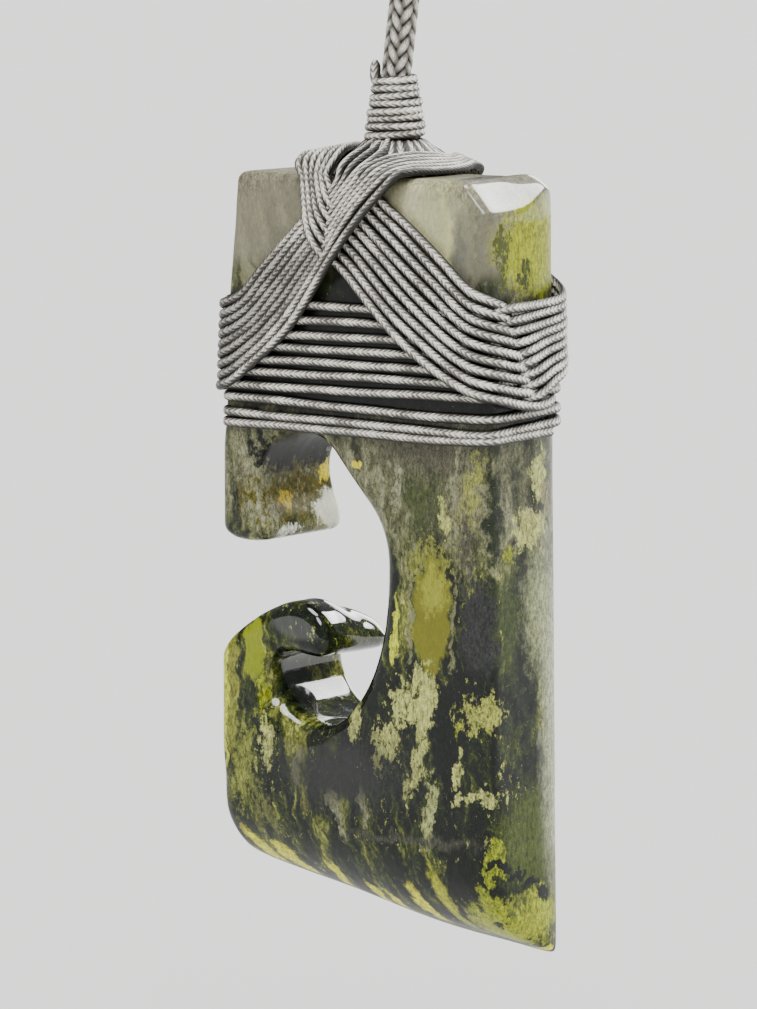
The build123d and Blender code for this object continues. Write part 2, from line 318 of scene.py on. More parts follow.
class Finish:
    """A material in the making, with the tree that its nodes go into."""

    def __init__(self, name, **constants):
        self.material = bpy.data.materials.new(name)
        self.material.use_nodes = True
        self.tree = self.material.node_tree
        self.shader = self.tree.nodes["Principled BSDF"]
        for socket, value in constants.items():
            self.shader.inputs[socket.replace("_", " ")].default_value = value

    def add(self, kind, settings=None, values=None, output=0):
        """A node of a type, its settings or a ramp's stops first, then its sockets' values or links."""
        node = self.tree.nodes.new("ShaderNode" + kind)
        for setting, value in (settings or {}).items():
            if setting == "stops":
                self.set_stops(node.color_ramp, value)
            else:
                setattr(node, setting, value)
        for socket, value in (values or {}).items():
            if isinstance(value, Wire):
                self.tree.links.new(value.socket, node.inputs[socket])
            else:
                node.inputs[socket].default_value = value
        return Wire(self, node.outputs[output])

    def set_stops(self, band, stops):
        """A ramp's stops, each a position and a colour."""
        while len(band.elements) < len(stops):
            band.elements.new(0.5)
        for element, (position, colour) in zip(band.elements, stops):
            element.position, element.color = position, (*colour, 1)

    def ramp(self, value, stops):
        return self.add("ValToRGB", {"stops": stops}, {0: value})

    def vector(self, operation, first, second):
        return self.add("VectorMath", {"operation": operation}, {0: first, 1: second})

    def shaded(self, colour, factor):
        """A colour made lighter or darker by a factor."""
        return self.add("VectorMath", {"operation": "SCALE"}, {0: colour, "Scale": factor})

    def joined(self, x, y, z=0.0):
        return self.add("CombineXYZ", None, {0: x, 1: y, 2: z})

    def coordinates(self, place):
        return [self.add("SeparateXYZ", None, {0: place}, axis) for axis in range(3)]

    def place(self):
        """Millimetres about the slab's middle."""
        in_metres = self.add("TexCoord", output="Object")
        return self.vector("SUBTRACT", self.vector("MULTIPLY", in_metres, (1 / MM,) * 3), tuple(HANG))

    def stretched(self, place, scale, turn=(0, 0, 0)):
        return self.add("Mapping", None, {"Vector": place, "Scale": scale, "Rotation": turn})

    def noise(self, place, scale, detail=4.0, roughness=0.55, output="Fac"):
        return self.add("TexNoise", None, {"Vector": place, "Scale": scale, "Detail": detail,
                                           "Roughness": roughness}, output)

    def between(self, value, low, high):
        """0 at low, 1 at high, and a smooth step in between. Low may be the greater."""
        return self.add("MapRange", {"interpolation_type": "SMOOTHSTEP"},
                        {"Value": value, "From Min": low, "From Max": high})

    def off_middle(self, place, centre, half, lean=0):
        """How far a place is from the middle of an ellipsoid, as a share of its half sizes: 1 on its
        surface. The lean turns the ellipsoid to the right, in degrees."""
        offset = self.vector("SUBTRACT", place, centre)
        if lean:
            offset = self.stretched(offset, (1, 1, 1), (0, math.radians(lean), 0))
        return self.add("VectorMath", {"operation": "LENGTH"}, {0: self.vector("DIVIDE", offset, half)}, 1)

    def inside(self, place, ellipsoids, softness):
        """1 inside any of the ellipsoids, with a soft edge. Where they overlap it is more."""
        return sum(self.between(self.off_middle(place, centre, half), 1 + softness, 1 - softness)
                   for centre, half in ellipsoids)

    def mix(self, share, one, other):
        """Colours mixed by a share."""
        one, other = ((*c, 1) if isinstance(c, tuple) else c for c in (one, other))
        return self.add("Mix", {"data_type": "RGBA"}, {0: share, 6: one, 7: other}, 2)

    def finish(self, relief=None, depth=0.1, strength=1.0, **channels):
        """Each channel goes to the surface's socket of its name, and relief, whose depth is in
        millimetres, turns the light on it."""
        if relief is not None:
            channels["Normal"] = self.add("Bump", None, {"Height": relief, "Distance": depth * MM,
                                                         "Strength": strength})
        for socket, wire in channels.items():
            self.tree.links.new(wire.socket, self.shader.inputs[socket.replace("_", " ")])
        return self.material


# The greenstone's colours, in linear light
BLACK = (0.006, 0.008, 0.006)
DEEP = (0.014, 0.021, 0.009)
MOSS = (0.040, 0.052, 0.010)
LIME = (0.26, 0.30, 0.012)
BRIGHT = (0.52, 0.56, 0.035)
YELLOW = (0.70, 0.58, 0.03)
# lime of the bevel's stripes, bright in part as painted light shining through the thin stone
STRIPE = (0.64, 0.62, 0.015)
CREAM = (0.42, 0.44, 0.13)
PALE = (0.25, 0.25, 0.15)
SLATE = (0.026, 0.027, 0.026)
# The layers' colours by their tone: those of the lower part and those near the head
LOWER_LAYERS = [(0.655, BLACK), (0.70, DEEP), (0.74, MOSS), (0.78, (0.11, 0.12, 0.022)),
                (0.82, (0.24, 0.26, 0.05)), (0.87, CREAM)]
UPPER_LAYERS = [(0.60, (0.020, 0.026, 0.011)), (0.66, (0.048, 0.053, 0.026)), (0.71, (0.092, 0.094, 0.046)),
                (0.77, (0.18, 0.18, 0.095)), (0.85, PALE)]
# the head's grey-brown tint, made paler in part as a painted sheen
HEAD_TINT = (0.25, 0.23, 0.165)
ISLAND = (0.24, 0.27, 0.035)
# Patches that the photograph shows, among them painted shade, painted glints, a painted reflection and a
# painted highlight:
# place, half sizes, lean to the right in degrees, how ragged and how soft the outline is, colour
PATCHES = [
    ((0.0, 0, 17.0), (60, 60, 5.6), 0, 0.0, 0.15, BLACK),  # painted shade under the lashing
    # painted shadow under the crossing bundles
    ((1.0, -6, 25.0), (4.0, 2.5, 5.0), 8, 0.2, 0.3, BLACK),
    ((7.3, -6, 4.3), (2.6, 3, 2.8), 0, 1.0, 0.8, (0.050, 0.062, 0.018)),
    ((8.7, -6, 9.2), (6.5, 3, 2.4), 0, 0.8, 0.5, (0.085, 0.082, 0.050)),
    ((13.3, -6, 5.0), (1.0, 2, 3.4), -14, 1.8, 0.25, (0.26, 0.27, 0.06)),
    ((12.0, -6, 8.6), (0.4, 2, 2.2), -4, 1.6, 0.15, PALE),
    ((10.4, -6, 3.0), (0.6, 2, 1.5), 10, 1.6, 0.12, CREAM),
    ((4.9, -6, 5.4), (0.35, 2, 2.4), -8, 2.2, 0.3, PALE),
    ((12.9, -6, 0.4), (0.8, 2, 3.4), 4, 1.6, 0.4, (0.075, 0.070, 0.045)),
    ((8.6, -6, -1.6), (2.2, 3, 2.2), 0, 1.6, 0.15, (0.20, 0.21, 0.035)),
    ((8.9, -6, -6.4), (2.15, 3.4, 5.2), -3, 0.25, 0.10, (0.155, 0.155, 0.010)),
    ((9.2, -6, -3.6), (1.3, 3, 1.9), -3, 1.2, 0.25, (0.28, 0.29, 0.03)),
    ((4.6, -5.9, -8.0), (0.35, 3, 3.4), -5, 0.6, 0.2, BRIGHT),
    ((6.4, -6, -7.0), (0.25, 3, 3.6), -3, 2.4, 0.3, (0.18, 0.18, 0.09)),
    ((11.4, -6, -6.6), (0.25, 3, 4.0), -3, 2.2, 0.3, (0.16, 0.16, 0.07)),
    ((14.4, -6, -6.9), (2.2, 1.6, 4.4), 0, 0.5, 0.3, SLATE),
    ((11.2, -6, -16.0), (1.6, 2.5, 4.0), 0, 0.5, 0.15, BLACK),
    ((8.3, -6, -14.4), (1.1, 2.2, 3.2), -8, 1.0, 0.10, CREAM),
    ((7.2, -6, -12.2), (0.9, 2.2, 1.4), 12, 1.4, 0.10, CREAM),
    ((7.2, -6, -20.4), (0.8, 2.2, 3.4), -18, 1.3, 0.10, CREAM),
    ((8.7, -6, -24.6), (0.8, 2.2, 3.4), -8, 1.3, 0.12, (0.30, 0.32, 0.12)),
    ((3.6, -6, -18.6), (1.3, 2, 1.9), -20, 1.7, 0.10, CREAM),
    ((5.8, -6, -14.6), (1.3, 2, 2.2), -20, 2.0, 0.10, CREAM),
    ((-0.1, -6, -16.6), (0.8, 2, 2.4), -4, 1.4, 0.10, CREAM),
    ((0.9, -6, -24.6), (0.5, 2, 1.6), 6, 1.6, 0.2, (0.24, 0.24, 0.13)),
    ((-2.4, -6, -25.4), (0.55, 2, 2.2), 28, 1.6, 0.2, (0.24, 0.24, 0.13)),
    ((14.0, -6, -22.6), (2.4, 2, 0.6), 12, 1.2, 0.10, CREAM),
    ((11.8, -6, -20.4), (0.6, 2, 1.4), -10, 1.4, 0.10, CREAM),
    ((12.0, -6, -16.6), (0.3, 2, 1.2), -10, 1.2, 0.10, LIME),
    ((14.2, -6, -14.8), (1.9, 2.2, 1.6), 20, 2.2, 0.12, (0.34, 0.36, 0.07)),
    ((-10.6, -6, -19.8), (0.7, 2, 2.6), 0, 1.6, 0.10, CREAM),
    ((-11.3, -6, -15.0), (0.4, 2, 2.4), 0, 1.4, 0.12, LIME),
    ((-6.9, -6, -21.8), (0.5, 2, 1.7), -6, 1.5, 0.12, PALE),
    ((-12.2, -6, -11.0), (1.2, 3, 3.2), -4, 0.5, 0.08, (0.22, 0.26, 0.008)),
    ((-14.9, -6, -13.0), (0.7, 3, 8.0), 0, 0.9, 0.25, (0.20, 0.21, 0.03)),
    # lime at the thin left rim, bright in part as painted light shining through the stone
    ((-15.7, -5.6, -15.5), (0.45, 2, 8.0), 0, 0.6, 0.2, BRIGHT),
    ((-13.4, -6, -22.5), (1.1, 3, 3.6), -8, 1.9, 0.3, (0.20, 0.22, 0.04)),
    ((-11.0, -6, -26.5), (0.8, 3, 3.2), 24, 1.7, 0.3, (0.12, 0.13, 0.035)),
    # painted reflection: a grey band low on the front
    ((-2.0, -6, -22.0), (7.0, 2, 3.4), 6, 0.3, 0.8, SLATE),
    # painted highlight along the bevel's top edge
    ((6.5, -6, -27.3), (7.0, 1.4, 0.45), 3, 0.15, 0.9, (0.050, 0.050, 0.036)),
    ((0.1, -6, 6.8), (0.45, 1.2, 0.5), 0, 0.8, 0.12, YELLOW),
    ((15.1, -5.1, 3.4), (0.45, 1.3, 6.6), 0, 1.0, 0.5, DEEP),
    ((15.3, 1.7, 6.6), (2, 1.3, 2.0), 0, 1.5, 0.10, CREAM),
    ((15.4, 0.2, 1.8), (2, 2.4, 1.7), 0, 1.6, 0.12, CREAM),
    ((15.4, -3.2, -0.4), (1, 1.0, 1.0), 0, 1.4, 0.12, LIME),
    ((15.5, 3.2, 3.8), (2, 1.0, 1.6), 0, 1.2, 0.15, (0.20, 0.19, 0.08)),
    ((15.5, -3.2, -6.4), (1.2, 1.6, 4.4), 0, 0.9, 0.5, (0.034, 0.050, 0.010)),
    ((15.8, 2.0, -6.0), (2, 2.6, 5.2), 0, 0.7, 0.6, (0.26, 0.28, 0.14)),
    ((15.8, 0.5, -26.8), (2, 5.2, 4.6), 0, 0.6, 0.4, (0.052, 0.072, 0.008)),
    # lime at the top of the right side, bright in part as painted light shining through the stone
    ((15.2, 2.4, 27.4), (3.0, 7.0, 4.4), 0, 0.5, 0.2, (0.30, 0.33, 0.012)),
    ((13.6, -6.0, 27.6), (0.9, 2.4, 4.6), 0, 0.8, 0.3, (0.15, 0.15, 0.10)),
    ((14.6, -3.6, 26.2), (1.0, 1.0, 3.2), 0, 1.6, 0.15, (0.060, 0.072, 0.012)),
    ((14.9, -0.2, 25.0), (2.0, 0.9, 1.4), 0, 1.9, 0.12, (0.055, 0.065, 0.012)),
    ((10.6, -6.0, 28.6), (0.55, 2, 4.6), 4, 1.0, 0.6, (0.60, 0.60, 0.20)),
    ((8.4, -6.0, 28.6), (3.6, 2, 6.0), -4, 0.6, 0.8, (0.46, 0.45, 0.25)),
    ((12.0, -6.0, 25.0), (0.9, 2, 5.0), 0, 0.6, 0.6, (0.15, 0.15, 0.11)),
    ((6.6, -6.0, 30.6), (0.8, 2, 3.0), -6, 1.2, 0.4, (0.50, 0.48, 0.30)),
    # lime at the thin left rim, bright in part as painted light shining through the stone
    ((-15.4, -5.6, 24.6), (0.5, 2, 1.6), 0, 0.9, 0.15, BRIGHT),
    ((-11.6, 0.2, 7.8), (2.5, 6.5, 3.3), 0, 0.7, 0.15, BLACK),
    ((-12.0, 0.6, 2.8), (2.5, 6.5, 2.6), 0, 1.3, 0.2, (0.10, 0.085, 0.012)),
    ((-12.1, 4.4, 4.6), (1.4, 1.0, 1.0), 0, 0.9, 0.12, YELLOW),
    ((-11.9, -2.1, 2.6), (1.4, 1.2, 0.9), 0, 1.3, 0.15, (0.46, 0.34, 0.02)),
    # two painted glints on the stub's wall
    ((-11.6, 4.2, 0.7), (1.6, 2.6, 2.0), 0, 0.4, 0.12, (0.84, 0.83, 0.66)),
    ((-11.6, -2.2, -0.2), (2, 1.5, 0.8), 0, 1.0, 0.12, (0.74, 0.77, 0.60)),
    ((-12.6, -3.8, -1.2), (2, 1.6, 0.6), 0, 1.6, 0.12, LIME),
    ((15.8, 4.8, -15.5), (2.2, 2.4, 16.0), 0, 0.4, 0.6, (0.34, 0.36, 0.21)),
    ((11.9, -5.0, -30.8), (2.2, 3.0, 2.7), 0, 0.6, 0.2, BLACK),
    ((-13.4, -3.0, -30.6), (0.85, 3.4, 2.5), 30, 0.5, 0.30, STRIPE),  # lime stripes and patches on the bevel, bright in part as painted light shining through the thin stone
    ((-9.9, -2.6, -31.6), (1.05, 3.2, 2.8), 40, 0.5, 0.30, STRIPE),
    ((-4.5, -2.4, -32.4), (0.60, 2.8, 2.0), 25, 0.5, 0.30, STRIPE),
    ((-0.4, -2.2, -33.6), (0.60, 2.6, 1.6), 25, 0.5, 0.30, STRIPE),
    ((1.9, -1.8, -34.4), (0.55, 2.4, 1.3), 30, 0.4, 0.30, STRIPE),
    ((5.8, -2.3, -33.8), (0.80, 3.8, 2.8), 16, 0.5, 0.30, STRIPE),
    ((9.2, -3.0, -32.9), (0.75, 4.2, 3.9), 14, 0.5, 0.40, (0.36, 0.38, 0.02)),
    ((14.5, -0.8, -34.3), (3.3, 5.4, 2.9), 0, 0.7, 0.20, (0.30, 0.34, 0.015)),
    ((14.2, -3.9, -31.6), (0.9, 1.4, 2.2), 10, 1.0, 0.20, LIME),
    ((15.4, -1.6, -33.0), (1.0, 1.6, 1.2), 0, 1.4, 0.40, (0.06, 0.075, 0.02)),
    ((14.6, -2.6, -34.3), (1.0, 0.5, 0.9), 0, 1.4, 0.20, DEEP),
    ((15.3, -5.2, -28.6), (0.7, 1.6, 2.4), 0, 1.2, 0.12, LIME),
    ((15.4, -4.4, -28.9), (1.0, 1.7, 0.42), 0, 0.7, 0.12, BLACK),
    ((15.8, -2.2, -29.7), (1.0, 1.5, 0.40), 0, 0.7, 0.12, BLACK),
    ((15.8, -0.2, -30.8), (1.0, 1.3, 0.45), 0, 0.7, 0.12, BLACK),
    ((15.7, 1.9, -32.4), (1.0, 1.4, 0.60), 0, 0.7, 0.12, BLACK),
    ((15.4, 3.4, -38.2), (1.6, 0.8, 1.2), 0, 0.1, 0.08, STRIPE),
    ((15.4, 1.9, -38.1), (1.6, 0.8, 0.9), 0, 0.1, 0.08, BLACK),
]
LAYER_LEAN = 0.12  # the layers lean to the right going down
# Zones of the stone: the heights where each sets in and is full, or where it fades and is gone
UPPER_FROM = (-5.0, 5.0)
HEAD_FROM = (24.0, 26.0)
SATIN_FROM = (8.0, 14.0)
STUB_FROM = (-2.0, 2.0)
BEVEL_FROM = (-26.0, -30.0)
ISLANDS_TO = (-3.0, 4.0)
# The same of the strip at the left side and of the stub's right side, across the width
LEFT_STRIP = (-9.0, -13.0)
STUB_BEYOND = (-5.0, -8.0)
# Where the grain is faint, which keeps the painted reflection low on the front and the painted glints on the
# stub's wall smooth, and where the stone is glossiest: centres and half sizes
CALM = [((8.9, -6, -6.4), (2.4, 3.4, 5.4)), ((-12.2, -6, -11.0), (1.3, 3, 3.4)),
        ((0, -6, 27.0), (19, 6, 6.5)), ((-3.0, -6, -22.0), (6.0, 3, 3.0)), ((-11.6, 4.2, 0.5), (2, 2.6, 2.2))]
GLOSSY = [((-6.5, 1.0, -11.0), (9.0, 5.9, 9.5)), ((13.8, 0.5, 32.6), (4.5, 8.0, 3.0)),
          ((-8.0, -5.0, -16.8), (4.0, 2.2, 2.4)), ((-6.5, -5.0, -7.8), (4.2, 2.0, 2.4))]


def greenstone():
    """Layers stand across the width, so that they show as upright streaks on the faces and as slanting
    stripes on the bevel. A stretched noise gives their tone, from black to cream. Cracked islands of
    lime and cream and the patches of the photograph come over it, with ragged outlines. A grain and
    thin dark veins break up all of them. The cut-out's walls and the sloped corner are the glossiest."""
    paint = Finish("greenstone", IOR=1.30, Coat_Roughness=0.04)
    place = paint.place()
    bend = paint.vector("SUBTRACT", paint.noise(place, 0.55, 4.0, output="Color"), (0.5, 0.5, 0.5))
    bent = paint.vector("ADD", place, paint.vector("MULTIPLY", bend, (2.2, 2.6, 3.4)))
    x, y, z = paint.coordinates(bent)
    across, _, height = paint.coordinates(place)
    layers = paint.joined(x + z * LAYER_LEAN, y * 0.34, z * 0.24)
    broad = paint.noise(layers, 0.22, 3.0)
    middle = paint.noise(layers, 0.80, 7.0, 0.64)
    fine = paint.noise(layers, 3.4, 6.0, 0.68)
    crumb = paint.noise(place, 2.4, 6.0, 0.74)
    cracked = paint.noise(paint.stretched(place, (1.0, 0.8, 0.62)), 1.3, 8.0, 0.76)
    grain = paint.noise(paint.stretched(place, (1.7, 1.3, 0.7)), 2.2, 8.0, 0.82)
    pitted = paint.noise(paint.stretched(place, (1.5, 1.2, 0.8)), 1.5, 6.0, 0.72)
    crossing = paint.noise(paint.stretched(bent, (1.3, 1.0, 0.5)), 1.1, 5.0, 0.62)

    left_strip = paint.between(across, *LEFT_STRIP) * 0.045
    tone = middle * 0.62 + broad * 0.45 + fine * 0.20 + crumb * 0.12 + left_strip
    upper = paint.between(height + (middle - 0.5) * 26, *UPPER_FROM)
    colour = paint.mix(upper, paint.ramp(tone, LOWER_LAYERS), paint.ramp(tone, UPPER_LAYERS))
    # the head is tinted grey-brown, paler in part as a painted sheen
    colour = paint.mix(paint.between(height, *HEAD_FROM) * 0.65, colour, HEAD_TINT)

    lower = 1 - paint.between(height, *ISLANDS_TO)
    isle = cracked + paint.between(paint.noise(place, 0.16, 2.0), 0.40, 0.66) * 0.08
    isle_colour = paint.mix(paint.between(crumb, 0.42, 0.58), ISLAND, CREAM)
    colour = paint.mix(paint.between(isle, 0.650, 0.685) * lower, colour, isle_colour)

    intact = 1 - paint.between(pitted, 0.53, 0.60) * 0.85
    for centre, half, lean, ragged, softness, tint in PATCHES:
        reach = paint.off_middle(bent, centre, half, lean) + (cracked - 0.5) * (ragged * 3)
        mask = paint.between(reach, 1 + softness, 1 - softness)
        colour = paint.mix(mask * intact if ragged > 1 else mask, colour, tint)

    veins = paint.between(abs(crossing - 0.5), 0.0, 0.030)
    mottle = (0.32 + paint.between(grain, 0.33, 0.66) * 1.15) * (0.40 + veins * 0.60)
    mottle = 0.95 + (mottle - 0.95) * (1 - paint.inside(place, CALM, 0.2) * 0.75)
    colour = paint.shaded(colour, mottle)
    flecks = paint.between(paint.noise(layers, 5.5, 3.0, 0.6), 0.67, 0.72)
    colour = paint.mix(flecks * 0.5, colour, PALE)

    satin = paint.between(height, *SATIN_FROM)
    bevel = paint.between(height, *BEVEL_FROM)
    stub = paint.between(across, *STUB_BEYOND) * paint.between(height, *STUB_FROM)
    roughness = 0.09 + satin * 0.20 + paint.between(crumb, 0.5, 0.8) * 0.06 + bevel * 0.34 + stub * 0.25
    relief = paint.noise(place, 0.30, 2.0) + crumb * 0.010
    return paint.finish(relief, 0.30, 0.5, Base_Color=colour, Roughness=roughness,
                        Coat_Weight=paint.inside(place, GLOSSY, 0.12))


finished(koru_stone_piece(), "koru_stone", greenstone())

# The wraps. Braided, waxed thread, wound nearly nine times round the slab's head from the bottom up,
# before the other strands go over it. Its loose end is caught under the first turn at the right back.
THREAD_HALF = (0.46, 0.35)  # half its width and half its thickness
THREAD_SIDES = 10
THREAD_STEP = 0.25
THREAD_ENDS = (0.45, 0.85)  # width of a thread's last and last but one row, as a share
# The slab's left and right edges, as height and x, and the corners between its faces and its sides
LEFT_EDGE = np.array([(-40.0, -15.6), (8.0, -15.5), (21.4, -15.05), (SLAB_TOP, -13.9)])
RIGHT_EDGE = np.array([(-40.0, 16.0), (SLAB_TOP, 14.9)])
FRONT_CORNER, BACK_CORNER = 1.2, 3.0
CORNER_STEPS = 13
WRAP_LIFT = 0.40
WRAP_WANDER = 0.04
GIRTH = 90.0
GIRTH_HEIGHT = 16.0  # the girth is laid out at this height
# The course of the wraps: turns counted from the first pass over the front's middle, and the height
WRAP_COURSE = np.array([
    (-0.50, 10.6), (-0.25, 11.0), (0.0, 10.85), (0.15, 10.75), (0.28, 11.1), (0.50, 11.8), (0.75, 12.5),
    (1.0, 12.2), (1.18, 12.15), (1.5, 12.9), (2.0, 13.8), (3.0, 15.1), (4.0, 16.25), (5.0, 17.5), (6.0, 18.7),
    (7.0, 20.1), (8.0, 21.5), (8.32, 21.5),
])
TAIL_COURSE = np.array([
    (-0.42, 11.2), (-0.25, 10.15), (0.0, 10.08), (0.15, 10.08), (0.22, 10.3), (0.295, 10.4),
])
chance = np.random.default_rng(11)


def flowing(rows, step=THREAD_STEP, measured=3):
    """A smooth line through rows of values: cubic stretches whose slopes are the mean slopes of the
    neighbours, over the distance run by the first few columns, and read at even steps."""
    rows = np.asarray(rows, float)
    run = distance_run(rows[:, :measured])
    slope = np.gradient(rows, run, axis=0)
    at = np.linspace(0, run[-1], max(int(run[-1] / step), 2) + 1)
    k = np.clip(np.searchsorted(run, at, side="right") - 1, 0, len(run) - 2)
    span = (run[k + 1] - run[k])[:, None]
    t = (at - run[k])[:, None] / span
    return ((1 + 2 * t) * (1 - t) ** 2 * rows[k] + t * (1 - t) ** 2 * span * slope[k]
            + t**2 * (3 - 2 * t) * rows[k + 1] + t**2 * (t - 1) * span * slope[k + 1])


def unit(vectors):
    """Vectors of length one."""
    return vectors / np.maximum(np.linalg.norm(vectors, axis=-1, keepdims=True), 1e-9)


def tubes(name, parts):
    """Closed tubes of quads in one mesh. Each part is a grid of points, rings along and columns round,
    with the distance of each ring, the share of each column and the tone. The UV map holds the
    distance and the share, the attribute tone is kept at the points, and each end has a cap."""
    points, faces, uv, tones, first = [], [], [], [], 0
    for grid, along, around, tone in parts:
        rings, columns = grid.shape[:2]
        i, j = np.mgrid[: rings - 1, :columns]
        here, after = first + i * columns + j, first + i * columns + (j + 1) % columns
        faces += np.stack([here, here + columns, after + columns, after], -1).reshape(-1, 4).tolist()
        us, vs = along[np.stack([i, i + 1, i + 1, i], -1)], around[np.stack([j, j, j + 1, j + 1], -1)]
        last = first + (rings - 1) * columns
        faces += [list(range(first, first + columns)), list(range(last, last + columns))[::-1]]
        uv += [np.stack([us, vs], -1).reshape(-1, 2),
               np.stack([np.full(columns, along[0]), around[:-1]], 1),
               np.stack([np.full(columns, along[-1]), around[:-1][::-1]], 1)]
        points.append(grid.reshape(-1, 3))
        tones.append(np.broadcast_to(tone, (rings, columns)).ravel())
        first += rings * columns
    mesh = bpy.data.meshes.new(name)
    mesh.from_pydata(to_scene(np.concatenate(points)).tolist(), [], faces)
    mesh.uv_layers.new(name="UVMap").data.foreach_set("uv", np.concatenate(uv).ravel())
    mesh.attributes.new("tone", "FLOAT", "POINT").data.foreach_set("value", np.concatenate(tones))
    mesh.shade_smooth()
    return placed(name, mesh)


def rings_round(line, up, wide, thick, columns):
    """Rings round a line: at each point an ellipse that stands across it, with half its width to the
    side and half its thickness on the way up."""
    ahead = unit(np.gradient(line, axis=0))
    up = unit(up - (up * ahead).sum(1, keepdims=True) * ahead)
    side = np.cross(ahead, up)
    angle = 2 * np.pi * (np.arange(columns) / columns)
    across = (wide * np.cos(angle))[:, :, None] * side[:, None]
    rising = (thick * np.sin(angle))[:, :, None] * up[:, None]
    return line[:, None] + across + rising


def threads(name, lines, sides=THREAD_SIDES):
    """Threads as flattened tubes. A line's columns are its place, the way up off the surface, half
    its width and half its thickness. Each thread draws in to a cut end and has a tone of its own."""
    parts = []
    for line in lines:
        place, up, wide, thick = np.split(line, (3, 6, 7), axis=1)
        close = np.ones((len(line), 1))
        close[[0, -1]], close[[1, -2]] = THREAD_ENDS
        grid = rings_round(place, up, close * wide, close * thick, sides)
        parts.append((grid, distance_run(place), np.arange(sides + 1) / sides, chance.random()))
    return tubes(name, parts)


def girth(share, height, lift):
    """Points and outward normals on the slab's girth, lift off the stone. The share of the way round
    starts at the front's middle and goes by the right side: straight runs joined by quarter circles,
    whose ends are read against the distance run."""
    left, right = np.interp(GIRTH_HEIGHT, *LEFT_EDGE.T), np.interp(GIRTH_HEIGHT, *RIGHT_EDGE.T)
    corners = ((right, -1, FRONT_CORNER, -90), (right, 1, BACK_CORNER, 0), (left, 1, BACK_CORNER, 90),
               (left, -1, FRONT_CORNER, 180))
    rows = [(0.0, -HALF_THICK - lift, 0.0, -1.0)]
    for x, depth, radius, start in corners:
        angle = np.radians(start + np.linspace(0, 90, CORNER_STEPS))
        centre = np.array([x - np.sign(x) * radius, depth * (HALF_THICK - radius)])
        normal = np.stack([np.cos(angle), np.sin(angle)], 1)
        rows += np.hstack([centre + normal * (radius + lift), normal]).tolist()
    rows = np.array(rows + rows[:1])
    run = distance_run(rows[:, :2])
    x, y, nx, ny = (np.interp(np.mod(share, 1) * run[-1], run, rows[:, k]) for k in range(4))
    x = x + np.where(x < 0, np.interp(height, *LEFT_EDGE.T) - left, np.interp(height, *RIGHT_EDGE.T) - right)
    return np.stack([x, y, height, nx, ny, np.zeros_like(x)], 1)


def wobble(run, size):
    """A slow random wander along a thread: two sines with random phases."""
    phase = chance.random(2) * 2 * np.pi
    return size * (np.sin(run / 4.3 + phase[0]) + 0.6 * np.sin(run / 1.9 + phase[1]))


def wrap_lines():
    """One long thread, whose height follows the course as it goes round, and its tail below it."""
    lines = []
    for course in (WRAP_COURSE, TAIL_COURSE):
        run, height = flowing(course * (GIRTH, 1), measured=1).T
        height = height + wobble(run, WRAP_WANDER)
        half = np.tile(THREAD_HALF, (len(run), 1))
        lines.append(np.hstack([girth(run / GIRTH, height, WRAP_LIFT), half]))
    return lines


# The thread's colours: the shade painted at its sides, its grey, and the highlight painted on its crest
WAX_SHADE, WAX_GREY, WAX_HIGHLIGHT = (0.008, 0.0072, 0.006), (0.16, 0.147, 0.125), (0.86, 0.81, 0.71)
CREST_AT = 0.28  # the share of the way round where the painted highlight is brightest, a little above a thread's crown
PLY_LENGTH = 0.30
BUNDLE_SHADE = 0.50  # how much darker the painted shade makes the left bundle
LOWEST_LINE = (1.07, 28.2, 29.5)  # the slope of its lowest strand, and the heights where the painted shade sets in
LOOP_FOOT = (28.0, 25.0)  # the painted shade sets in below the loop, over these heights
FIBRE_GLOSS = (0.36, 0.25)  # roughness, and what the fibres add to it
FIBRE_RELIEF = (0.08, 0.9)  # depth in millimetres and strength


def thread_map(paint):
    """Millimetres along a thread, the share of the way round it, and its tone."""
    along, around, _ = paint.coordinates(paint.add("UVMap", {"uv_map": "UVMap"}))
    return along, around, paint.add("Attribute", {"attribute_name": "tone"}, output="Fac")


def fibrous(paint, colour, fibre, relief):
    """What thread and plait have in common: fibres that take the gloss off."""
    roughness = FIBRE_GLOSS[0] + fibre * FIBRE_GLOSS[1]
    return paint.finish(relief, *FIBRE_RELIEF, Base_Color=colour, Roughness=roughness)


